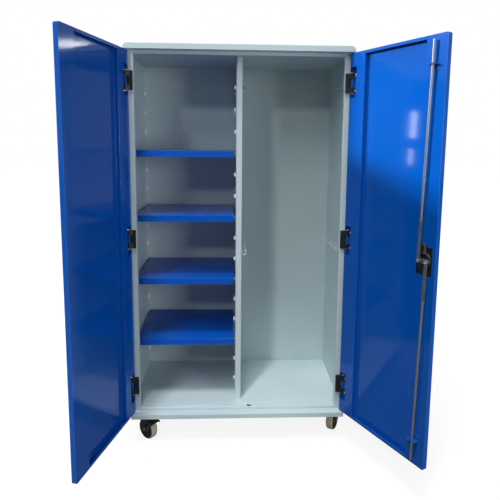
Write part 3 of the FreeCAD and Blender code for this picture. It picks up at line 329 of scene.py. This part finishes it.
def make_finishes(shade):
    """The finishes of the solids, under the record's slot names."""
    return {
        "carcass_grey": powder_coat("carcass_grey", shade.grey, rough=0.34, shine=0.4),
        "door_blue": powder_coat("door_blue", shade.blue, rough=0.09, shine=0.32),
        "shelf_blue": powder_coat("shelf_blue", shade.shelf_blue, rough=0.14, shine=0.19),
        "zinc": plated("zinc", shade.zinc, rough=0.36, metal=0.7),
        "hinge_black": black_metal("hinge_black", shade.black, rough=0.42),
        "lock_black": moulded("lock_black", shade.black, rough=0.45),
        "key_chrome": plated("key_chrome", shade.chrome, rough=0.16),
        "caster_black": black_metal("caster_black", shade.black, rough=0.32),
        "pedal_black": moulded("pedal_black", shade.black, rough=0.40),
        "axle_zinc": plated("axle_zinc", shade.zinc, rough=0.34, along=(1, 1, 1)),
        "wheel_cream": moulded("wheel_cream", shade.cream, rough=0.42, grain=380.0),
    }


def plain(slot):
    """The plain material that the frame brings for a slot."""
    return bpy.data.materials[slot]


class CABINET_OT_finishes(bpy.types.Operator):
    """Gives every solid of the cabinet its paint, plating or plastic"""

    bl_idname = "cabinet.finishes"
    bl_label = "Finish the parts"

    def execute(self, context):
        made = make_finishes(context.scene.cabinet_colours)
        for node, slot in SLOTS.items():
            mesh = frame["nodes"][node].data
            mesh.materials.clear()
            mesh.materials.append(made[slot])
        return {"FINISHED"}


# Modelling


def activate(piece):
    bpy.ops.object.select_all(action="DESELECT")
    piece.select_set(True)
    bpy.context.view_layer.objects.active = piece


def pick(piece, kind, test):
    """Opens the piece for editing with just those faces or edges selected that pass the test."""
    activate(piece)
    bpy.ops.object.mode_set(mode="EDIT")
    bpy.ops.mesh.select_mode(type=kind)
    bpy.ops.mesh.select_all(action="DESELECT")
    bpy.ops.object.mode_set(mode="OBJECT")
    for item in piece.data.polygons if kind == "FACE" else piece.data.edges:
        item.select = test(item)
    bpy.ops.object.mode_set(mode="EDIT")


def finish_edit():
    bpy.ops.object.mode_set(mode="OBJECT")


def up(face):
    return face.normal.z > 0.9


def top(face):
    """The flat face in the middle of a piece's top."""
    return up(face) and face.center.xy.length < NEAR


def foot(face):
    """The flat face in the middle of a piece's underside."""
    return face.normal.z < -0.9 and face.center.xy.length < NEAR


def turned(name, radius, low, high, points):
    """A short cylinder along Z, to be worked on."""
    bpy.ops.object.select_all(action="DESELECT")
    bpy.ops.mesh.primitive_cylinder_add(vertices=points, radius=radius, depth=high - low,
                                        location=(0, 0, (low + high)/2))
    bpy.ops.object.transform_apply()
    piece = bpy.context.active_object
    piece.name = piece.data.name = name
    return piece


def block(name, low, high):
    """A box between two corners, to be worked on."""
    bpy.ops.object.select_all(action="DESELECT")
    middle = [(a + b)/2 for a, b in zip(low, high)]
    bpy.ops.mesh.primitive_cube_add(size=1, location=middle, scale=[b - a for a, b in zip(low, high)])
    bpy.ops.object.transform_apply()
    piece = bpy.context.active_object
    piece.name = piece.data.name = name
    return piece


def pull(rise):
    """Draws the selected faces out along Z."""
    bpy.ops.mesh.extrude_region_move(TRANSFORM_OT_translate={"value": (0, 0, rise)})


def press(piece, test, *steps, along="Z"):
    """Insets the faces that pass the test; each step is how far in and then how far along the axis."""
    pick(piece, "FACE", test)
    for inward, rise in steps:
        bpy.ops.mesh.inset(thickness=inward)
        if rise:
            bpy.ops.transform.translate(value=[rise if axis == along else 0 for axis in "XYZ"])
    finish_edit()


def bore_through(piece):
    """Joins the middle faces of top and underside by a hole."""
    pick(piece, "FACE", lambda face: top(face) or foot(face))
    bpy.ops.mesh.bridge_edge_loops()
    finish_edit()


def soften(piece, width, segments, test):
    """Rounds the edges whose middle passes the test."""
    def passes(edge):
        first, second = (piece.data.vertices[index].co for index in edge.vertices)
        return test((first + second)/2)

    pick(piece, "EDGE", passes)
    bpy.ops.mesh.bevel(offset=width, segments=segments, affect="EDGES")
    finish_edit()


def smooth(piece, angle):
    activate(piece)
    bpy.ops.object.shade_smooth_by_angle(angle=math.radians(angle))


def copy_to(piece, name, place, body, finish):
    """A copy with its own mesh, put in its place on a body."""
    made = piece.copy()
    made.data = piece.data.copy()
    made.name = made.data.name = name
    bpy.context.scene.collection.objects.link(made)
    made.matrix_world = place
    activate(made)
    bpy.ops.object.transform_apply()
    made.data.materials.clear()
    made.data.materials.append(finish)
    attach(made, body)


def drop(piece):
    activate(piece)
    bpy.ops.object.delete()


def door_place(side):
    """Frame of a door at rest: X along the door, Y into the cabinet when it is shut, hinge axis at zero."""
    turn = {"left": -LEFT_OPEN, "right": RIGHT_OPEN}[side]
    return (Matrix.Translation(JOINTS[side + "_door_hinge"]["pos_m"])
            @ Matrix.Rotation(math.radians(turn), 4, "Z"))


def on_lock(out):
    """Frame on the lock's axis with Z out of the door's inner face, this far from the hinge plane."""
    return door_place("right") @ Matrix.Translation((LOCK_X, out, 0)) @ OUT_OF_DOOR


def caster_place(corner, joint):
    """Frame of a caster: X along the axle, Y along the trail."""
    axis = JOINTS["roll_" + corner]["axis"]
    turn = Matrix.Rotation(math.atan2(axis[1], axis[0]), 4, "Z")
    return Matrix.Translation(JOINTS[joint + corner]["pos_m"]) @ turn


def make_cover(rim):
    """Dished cover with a hub and five spokes, with the wheel's middle at zero."""
    facets = 50
    spokes = 5
    lap = 0.0046
    web_side = 0.0115
    tread_side = 0.0163
    rim_gauge = 0.0010
    rim_land = 0.0045
    wall = 0.0012
    dish_depth = 0.0032
    dish_floor = 0.0185
    hub_rise = 0.0026
    hub_land = 0.0035
    rib_margin = 0.0006
    rib_rise = 0.0016
    spigot = rim - lap
    floor_out = rim - rim_land - wall
    floor_in = floor_out - dish_floor
    bore = floor_in - wall - hub_land
    rim_top = tread_side + rim_gauge

    def is_rib(face):
        """A facet of the dish's floor near the start of a spoke's share of the turn."""
        sector = math.degrees(math.atan2(face.center.y, face.center.x)) % (360/spokes)
        return up(face) and floor_in < face.center.xy.length < floor_out and sector < 360/facets

    cover = turned("cover", spigot, web_side, tread_side, facets)
    pick(cover, "FACE", top)
    pull(0.0)
    bpy.ops.transform.resize(value=(rim/spigot, rim/spigot, 1))
    pull(rim_gauge)
    finish_edit()
    press(cover, top, (rim_land, 0), (wall, -dish_depth), (dish_floor, 0), (wall, hub_rise), (hub_land, 0))
    press(cover, foot, (spigot - bore, 0))
    bore_through(cover)
    pick(cover, "FACE", is_rib)
    bpy.ops.mesh.inset(thickness=rib_margin)
    pull(rib_rise)
    finish_edit()
    soften(cover, width=0.0005, segments=2,
           test=lambda middle: middle.z > rim_top - NEAR and middle.xy.length > 0.99*rim)
    smooth(cover, angle=35)
    return cover


class CABINET_OT_wheel_covers(bpy.types.Operator):
    """Models the dished black cover of a wheel and puts one on each side of every wheel"""

    bl_idname = "cabinet.wheel_covers"
    bl_label = "Add wheel covers"

    def execute(self, context):
        cover = make_cover(context.scene.cabinet_sizes.cover_radius)
        for corner in CORNERS:
            wheel = caster_place(corner, "roll_")
            for side, turn in (("a", 90), ("b", -90)):
                place = wheel @ Matrix.Rotation(math.radians(turn), 4, "Y")
                copy_to(cover, "wheel_cover_%s_%s" % (corner, side), place, "roller_" + corner,
                        plain("caster_black"))
        drop(cover)
        return {"FINISHED"}


class CABINET_OT_pedal_ribs(bpy.types.Operator):
    """Models the grip ribs on top of the brake pedals"""

    bl_idname = "cabinet.pedal_ribs"
    bl_label = "Add pedal ribs"

    def execute(self, context):
        ribs = 5
        half_length = 0.019
        half_gauge = 0.0012
        sunk = 0.0004
        proud = 0.0009
        first_rib = 0.052
        pedal_start = 0.040
        pedal_top = 0.106
        pedal_run = 0.052
        pedal_drop = 0.010
        rib = block("rib", (-half_length, -half_gauge, -sunk), (half_length, half_gauge, proud))
        soften(rib, width=0.0006, segments=2, test=lambda middle: middle.z > proud - NEAR)
        smooth(rib, angle=35)
        slope = Matrix.Rotation(math.atan2(-pedal_drop, pedal_run), 4, "X")
        for corner in BRAKED_CORNERS:
            swivel = caster_place(corner, "swivel_")
            swivel.translation.z = 0
            for number in range(ribs):
                ahead = first_rib + context.scene.cabinet_sizes.rib_pitch*number
                rise = pedal_top - pedal_drop*(ahead - pedal_start)/pedal_run
                place = swivel @ Matrix.Translation((0, ahead, rise)) @ slope
                copy_to(rib, "pedal_rib_%s_%d" % (corner, number + 1), place, "brake_" + corner,
                        plain("pedal_black"))
        drop(rib)
        return {"FINISHED"}


class CABINET_OT_lock_fittings(bpy.types.Operator):
    """Models the snap ring, pin caps, guide block and key bezel of the lock"""

    bl_idname = "cabinet.lock_fittings"
    bl_label = "Add lock fittings"

    def execute(self, context):
        sizes = context.scene.cabinet_sizes
        shade = context.scene.cabinet_colours
        self.snap_ring(sizes.ring_radius, plated("ring_steel", shade.spring, rough=0.3))
        self.pin_caps(sizes.cap_radius)
        self.guide_block(plated("olive_zinc", shade.olive, rough=0.34, along=(1, 1, 1)))
        self.key_bezel(sizes.bezel_radius)
        return {"FINISHED"}

    def snap_ring(self, radius, finish):
        """Sprung ring round the boss, open below."""
        wire_radius = 0.0013
        half_gap = math.radians(15)
        boss_end = 0.0131
        bpy.ops.object.select_all(action="DESELECT")
        bpy.ops.mesh.primitive_torus_add(major_radius=radius, minor_radius=wire_radius, major_segments=72,
                                         minor_segments=10)
        ring = bpy.context.active_object
        pick(ring, "FACE", lambda face: abs(math.atan2(face.center.x, face.center.y)) < half_gap)
        bpy.ops.mesh.delete(type="FACE")
        bpy.ops.mesh.select_mode(type="EDGE")
        bpy.ops.mesh.select_all(action="DESELECT")
        bpy.ops.mesh.select_non_manifold()
        bpy.ops.mesh.edge_face_add()
        finish_edit()
        smooth(ring, angle=50)
        copy_to(ring, "lock_snap_ring", on_lock(boss_end), "right_door", finish)
        drop(ring)

    def pin_caps(self, radius):
        """Push-on caps over the heads of the cam's two pins."""
        cam_face = 0.0250
        shoulder = 0.0273
        pin_throw = 0.018
        crown = (0.0010, 0.0007)
        land = (0.0022, 0)
        dimple = (0.0006, -0.0008)
        cap = turned("cap", radius, cam_face, shoulder, points=28)
        press(cap, top, crown, land, dimple)
        smooth(cap, angle=30)
        for word, side in (("up", 1), ("down", -1)):
            place = on_lock(0) @ Matrix.Translation((side*pin_throw, 0, 0))
            copy_to(cap, "pin_cap_" + word, place, "handle", plain("zinc"))
        drop(cap)

    def guide_block(self, finish):
        """Yellow guide block over the cam, screwed to the lock behind the upper rod."""
        low = Vector((-0.0110, 0.0090, 0.0295))
        high = Vector((0.0080, 0.0205, 0.0665))
        raised_rim = (0.0030, 0.0010)
        recess = (0.0024, -0.0016)
        guide = block("guide", low, high)
        soften(guide, width=0.0016, segments=3,
               test=lambda middle: abs(middle.z - (low.z + high.z)/2) < NEAR)
        press(guide, lambda face: face.normal.y > 0.9, raised_rim, recess, along="Y")
        smooth(guide, angle=30)
        place = door_place("right") @ Matrix.Translation((LOCK_X, 0, 0))
        copy_to(guide, "lock_guide_block", place, "right_door", finish)
        drop(guide)

    def key_bezel(self, radius):
        """Bright ring round the key plug."""
        handle_face = 0.0086
        shoulder = 0.0090
        bevel = (0.0008, 0.0004)
        fall = (0.0017, -0.0002)
        bezel = turned("bezel", radius, handle_face, shoulder, points=40)
        press(bezel, top, bevel, fall)
        press(bezel, foot, (bevel[0] + fall[0], 0))
        bore_through(bezel)
        smooth(bezel, angle=30)
        flip = Matrix.Rotation(math.pi, 4, "X")
        copy_to(bezel, "key_bezel", on_lock(0) @ flip, "handle", plain("key_chrome"))
        drop(bezel)


class CABINET_OT_rod_grommets(bpy.types.Operator):
    """Models the oblong grommet round each lock rod, on top of its guide"""

    bl_idname = "cabinet.rod_grommets"
    bl_label = "Add rod grommets"

    def execute(self, context):
        half_width = context.scene.cabinet_sizes.grommet_width/2
        half_depth = context.scene.cabinet_sizes.grommet_depth/2
        seat = 0.0001
        rim = 0.0030
        rounding = (0.0010, 0.0005)
        land = (0.0020, 0)
        grommet = block("grommet", (-half_width, -half_depth, seat), (half_width, half_depth, rim))
        soften(grommet, width=0.0060, segments=5,
               test=lambda middle: abs(middle.z - (seat + rim)/2) < NEAR)
        press(grommet, foot, (rounding[0] + land[0], 0))
        press(grommet, top, rounding, land)
        bore_through(grommet)
        smooth(grommet, angle=40)
        for word, level, turn in (("upper", ROD_GUIDE_Z, 0), ("lower", -ROD_GUIDE_Z, math.pi)):
            spot = door_place("right") @ Matrix.Translation((LOCK_X, ROD_Y, level))
            copy_to(grommet, "rod_grommet_" + word, spot @ Matrix.Rotation(turn, 4, "X"), "right_door",
                    plain("lock_black"))
        drop(grommet)
        return {"FINISHED"}


def make_strap(width, height):
    """Plate with a raised rim and rounded corners, in the plane of its hinge leaf."""
    outer_side = -0.0054
    inner_side = -0.0023
    raised_rim = (0.0012, 0.0007)
    recess = (0.0020, -0.0006)
    strap = block("strap", (-width/2, outer_side, -height/2), (width/2, inner_side, height/2))
    soften(strap, width=0.003, segments=4,
           test=lambda middle: abs(middle.x) > NEAR and abs(middle.z) > NEAR)
    press(strap, lambda face: face.normal.y > 0.9, raised_rim, recess, along="Y")
    smooth(strap, angle=30)
    return strap


def make_screw():
    """Domed screw head with a socket."""
    head_radius = 0.0042
    head_height = 0.0012
    chamfer = (0.0007, 0.0006)
    dome = (0.0010, 0.0003)
    land = (0.0008, 0)
    socket = (0.0002, -0.0008)
    screw = turned("screw", head_radius, 0.0, head_height, points=24)
    press(screw, top, chamfer, dome, land, socket)
    smooth(screw, angle=40)
    return screw


class CABINET_OT_hinge_straps(bpy.types.Operator):
    """Models the straps that hold the hinge leaves, two on every leaf, and their screws"""

    bl_idname = "cabinet.hinge_straps"
    bl_label = "Add hinge straps"

    def execute(self, context):
        strap_rise = 0.0302
        screw_seat = -0.0022
        sizes = context.scene.cabinet_sizes
        strap = make_strap(sizes.strap_width, sizes.strap_height)
        screw = make_screw()
        for side, way in (("left", -1), ("right", 1)):
            for number, level in enumerate(HINGE_LEVELS):
                for word, rise in (("low", -strap_rise), ("high", strap_rise)):
                    name = "%s_%d_%s" % (side, number + 1, word)
                    place = door_place(side) @ Matrix.Translation((-LEAF_X*way, 0, level + rise))
                    off_middle = rise/6
                    seat = place @ Matrix.Translation((0, screw_seat, off_middle)) @ OUT_OF_DOOR
                    copy_to(strap, "hinge_strap_" + name, place, side + "_door", plain("hinge_black"))
                    copy_to(screw, "strap_screw_" + name, seat, side + "_door", plain("zinc"))
        drop(strap)
        drop(screw)
        return {"FINISHED"}


class CABINET_OT_hook_tips(bpy.types.Operator):
    """Models the round tip of a hook and puts one on every hook of both rails"""

    bl_idname = "cabinet.hook_tips"
    bl_label = "Add hook tips"

    def execute(self, context):
        hooks = 6
        half_width = 0.0050
        first_hook = 0.020
        hook_pitch = 0.068
        half_gauge = 0.002
        sunk = 0.0005
        tip = turned("tip", context.scene.cabinet_sizes.tip_radius, -half_width, half_width, points=14)
        soften(tip, width=0.0026, segments=3, test=lambda middle: abs(middle.z) > half_width - NEAR)
        smooth(tip, angle=60)
        level = Matrix.Rotation(math.radians(90), 4, "X")
        for word in ("wall", "divider"):
            low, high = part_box("hook_rail_" + word)
            face = low.x + half_gauge if word == "wall" else high.x - half_gauge
            for number in range(hooks):
                spot = Matrix.Translation((face, low.y + first_hook + hook_pitch*number, high.z - sunk))
                copy_to(tip, "hook_tip_%s_%d" % (word, number + 1), spot @ level, "cabinet",
                        plain("carcass_grey"))
        drop(tip)
        return {"FINISHED"}


def make_lip(reach, height):
    """Lip with a rounded end and a raised face, standing out along X."""
    root = 0.0001
    half_gauge = 0.0014
    raised_face = (0.0009, -0.0006)
    lip = block("lip", (root, -half_gauge, -height/2), (reach, half_gauge, height/2))
    soften(lip, width=0.0025, segments=3,
           test=lambda middle: middle.x > reach - NEAR and abs(middle.z) > NEAR)
    press(lip, lambda face: face.normal.y < -0.9, raised_face, along="Y")
    smooth(lip, angle=30)
    return lip


class CABINET_OT_tab_lips(bpy.types.Operator):
    """Models the folded lip of a shelf tab and puts one on every tab that carries no shelf, coated pale white as a
    painted highlight
    """

    bl_idname = "cabinet.tab_lips"
    bl_label = "Add tab lips"

    def execute(self, context):
        free_tabs = (1, 2, 4, 5, 7, 8, 10, 11, 13, 14, 15)
        tab_pitch = 0.100
        under_first = 0.060
        sheet = 0.0015
        half_upright = 0.0125
        sizes = context.scene.cabinet_sizes
        lip = make_lip(sizes.lip_reach, sizes.lip_height)
        # A pale white coat on the lips as a painted highlight
        finish = powder_coat("tab_white", context.scene.cabinet_colours.white, rough=0.34, shine=0.4)
        for word, turn in (("wall", 0), ("divider", math.pi)):
            low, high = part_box("uprights_" + word)
            face = low.x + sheet if word == "wall" else high.x - sheet
            for row, depth in (("front", low.y + half_upright), ("back", high.y - half_upright)):
                for number in free_tabs:
                    spot = Matrix.Translation((face, depth, low.z - under_first + tab_pitch*number))
                    copy_to(lip, "tab_lip_%s_%s_%d" % (word, row, number),
                            spot @ Matrix.Rotation(turn, 4, "Y"), "cabinet", finish)
        drop(lip)
        return {"FINISHED"}


# Stage


def soft_light(name, place, target, size, power):
    lamp = bpy.data.lights.new(name, "AREA")
    lamp.shape = "RECTANGLE"
    lamp.size, lamp.size_y = size
    lamp.energy = power
    light = bpy.data.objects.new(name, lamp)
    bpy.context.scene.collection.objects.link(light)
    light.location = place
    light.rotation_euler = (Vector(target) - Vector(place)).to_track_quat("-Z", "Y").to_euler()
    return light


def shine_card(name, place, target, size, power):
    """A light that shows only in shiny surfaces."""
    card = soft_light(name, place, target, size, power)
    card.visible_diffuse = False
    card.visible_camera = False


def seen_share(nodes, mirrored):
    """1 for rays that show the background, less for those that come off a shiny surface."""
    path = nodes.add("ShaderNodeLightPath", {}).outputs
    share = path["Is Camera Ray"]
    for name, part in (("Is Glossy Ray", mirrored), ("Is Transmission Ray", 1.0)):
        share = nodes.maths("MAXIMUM", share, nodes.maths("MULTIPLY", path[name], part))
    return share


def stage_plane(name, size):
    bpy.ops.object.select_all(action="DESELECT")
    bpy.ops.mesh.primitive_plane_add(size=size)
    plane = bpy.context.active_object
    plane.name = name
    return plane


def make_floor():
    """A matt grey floor with a white glow for the eye, dimmed near the cabinet as a painted shade round its foot.
    """
    floor = stage_plane("studio_floor", size=40)
    nodes = Nodes(bpy.data.materials.new("studio_floor"))
    nodes.tree.nodes.clear()
    grey = (0.13, 0.13, 0.13, 1)
    place = nodes.add("ShaderNodeTexCoord", {}).outputs["Object"]
    reach = nodes.add("ShaderNodeVectorMath", {0: place}, operation="LENGTH").outputs["Value"]
    # Painted shade: the glow is weaker near the cabinet, so the floor round it and its shadow look darker
    shaded_glow = nodes.spread(reach, 0.88, 1.0, start=1.0, end=2.6)
    strength = nodes.maths("MULTIPLY", seen_share(nodes, mirrored=0.06), shaded_glow)
    matt = nodes.add("ShaderNodeBsdfDiffuse", {"Color": grey}).outputs["BSDF"]
    lift = nodes.add("ShaderNodeEmission", {"Color": WHITE, "Strength": strength}).outputs["Emission"]
    both = nodes.add("ShaderNodeAddShader", {0: matt, 1: lift}).outputs["Shader"]
    nodes.add("ShaderNodeOutputMaterial", {"Surface": both})
    floor.data.materials.append(nodes.owner)


def make_flag():
    """A dark card that keeps the light at the left off the cabinet's own side."""
    flag = stage_plane("studio_flag", size=1)
    flag.dimensions = (2.2, 1.1, 0)
    flag.rotation_euler = (0, math.pi/2, 0)
    flag.location = (-0.95, 0.30, 1.45)
    dark = (0.02, 0.02, 0.02, 1)
    flag.data.materials.append(Finish("studio_flag").done(Base_Color=dark, Roughness=0.9))
    flag.visible_camera = False
    flag.visible_glossy = False
    flag.visible_diffuse = False


def make_room(strength):
    """A white room for the eye and for reflections, and a soft light from all round for surfaces."""
    nodes = Nodes(bpy.data.worlds.new("studio_room"))
    nodes.tree.nodes.clear()
    cool = (0.93, 0.97, 1.0, 1)
    lit = nodes.add("ShaderNodeBackground", {"Color": cool, "Strength": strength}).outputs["Background"]
    white = nodes.add("ShaderNodeBackground", {"Color": WHITE, "Strength": 1.0}).outputs["Background"]
    share = seen_share(nodes, mirrored=0.4)
    both = nodes.add("ShaderNodeMixShader", {0: share, 1: lit, 2: white}).outputs["Shader"]
    nodes.add("ShaderNodeOutputWorld", {"Surface": both})
    bpy.context.scene.world = nodes.owner


def make_lights(values):
    """Lamps round the front, and cards that put the glints in the paint."""
    middle = (0.0, -0.2, 0.9)
    for name, place, target, size, power in (
            ("front_light", (-2.34, -5.98, 4.08), middle, (0.45, 0.45), values.front_power),
            ("tall_light", (-2.16, -4.63, 7.20), middle, (0.45, 5.5), values.tall_power),
            ("high_light", (-1.60, -6.17, 19.9), middle, (3.7, 3.7), values.high_power),
            ("right_light", (2.55, -3.23, 1.46), middle, (1.4, 1.4), values.right_power),
            ("side_light", (-3.07, -0.28, 2.98), (0.6, -0.45, 1.4), (0.3, 0.25), values.side_power)):
        soft_light(name, place, target, size, power)
    glint_area = 0.01
    for name, place, target, size in (
            ("glint_card_1", (-0.312, -0.311, 1.526), (0.661, -0.540, 1.488), (0.036, 0.150)),
            ("glint_card_2", (-0.314, -0.302, 1.341), (0.658, -0.534, 1.366), (0.020, 0.092)),
            ("glint_card_3", (1.25, 1.15, 2.21), (-0.585, -0.62, 1.75), (0.30, 0.06))):
        shine_card(name, place, target, size, values.glint_power*size[0]*size[1]/glint_area)
    bay_cards = 4
    divider_side = -0.03
    wall_side = -0.6
    depth = 0.05
    high = 1.785
    lowest = 0.98
    rise = 0.05
    widest = 0.40
    taper = 0.04
    for number in range(bay_cards):
        low = lowest + rise*number
        level = (low + high)/2
        size = (widest - taper*number, high - low)
        shine_card("bay_card_%d" % (number + 1), (divider_side, depth, level), (wall_side, depth, level),
                   size, values.bay_power/bay_cards)


def make_camera(values):
    camera = bpy.data.cameras.new("camera")
    camera.sensor_width = 36
    camera.lens = values.lens
    camera.shift_x, camera.shift_y = values.shift
    viewer = bpy.data.objects.new("camera", camera)
    bpy.context.scene.collection.objects.link(viewer)
    viewer.location = values.camera_place
    viewer.rotation_euler = values.camera_turn
    bpy.context.scene.camera = viewer


class CABINET_OT_stage(bpy.types.Operator):
    """Sets up the floor, the lights and the camera"""

    bl_idname = "cabinet.stage"
    bl_label = "Set the stage"

    def execute(self, context):
        values = context.scene.cabinet_stage
        context.scene.view_settings.view_transform = "Standard"
        make_floor()
        make_flag()
        make_room(values.fill)
        make_lights(values)
        make_camera(values)
        return {"FINISHED"}


class CABINET_PT_build(bpy.types.Panel):
    """Lists the steps that dress the cabinet"""

    bl_idname = "CABINET_PT_build"
    bl_label = "Cabinet"
    bl_space_type = "VIEW_3D"
    bl_region_type = "UI"
    bl_category = "Cabinet"

    def draw(self, context):
        for step in STEPS:
            self.layout.operator(step.bl_idname)
        scene = context.scene
        for group in (scene.cabinet_colours, scene.cabinet_sizes, scene.cabinet_stage):
            for name in group.__annotations__:
                self.layout.prop(group, name)


STEPS = (CABINET_OT_finishes, CABINET_OT_wheel_covers, CABINET_OT_pedal_ribs, CABINET_OT_lock_fittings,
         CABINET_OT_rod_grommets, CABINET_OT_hinge_straps, CABINET_OT_hook_tips, CABINET_OT_tab_lips,
         CABINET_OT_stage)
CLASSES = (CabinetColours, CabinetSizes, CabinetStage, *STEPS, CABINET_PT_build)


def register():
    for made in CLASSES:
        bpy.utils.register_class(made)
    bpy.types.Scene.cabinet_colours = bpy.props.PointerProperty(type=CabinetColours)
    bpy.types.Scene.cabinet_sizes = bpy.props.PointerProperty(type=CabinetSizes)
    bpy.types.Scene.cabinet_stage = bpy.props.PointerProperty(type=CabinetStage)


def unregister():
    del bpy.types.Scene.cabinet_stage
    del bpy.types.Scene.cabinet_sizes
    del bpy.types.Scene.cabinet_colours
    for made in reversed(CLASSES):
        bpy.utils.unregister_class(made)


def main():
    register()
    bpy.ops.cabinet.finishes()
    bpy.ops.cabinet.wheel_covers()
    bpy.ops.cabinet.pedal_ribs()
    bpy.ops.cabinet.lock_fittings()
    bpy.ops.cabinet.rod_grommets()
    bpy.ops.cabinet.hinge_straps()
    bpy.ops.cabinet.hook_tips()
    bpy.ops.cabinet.tab_lips()
    bpy.ops.cabinet.stage()


if __name__ == "__main__":
    main()
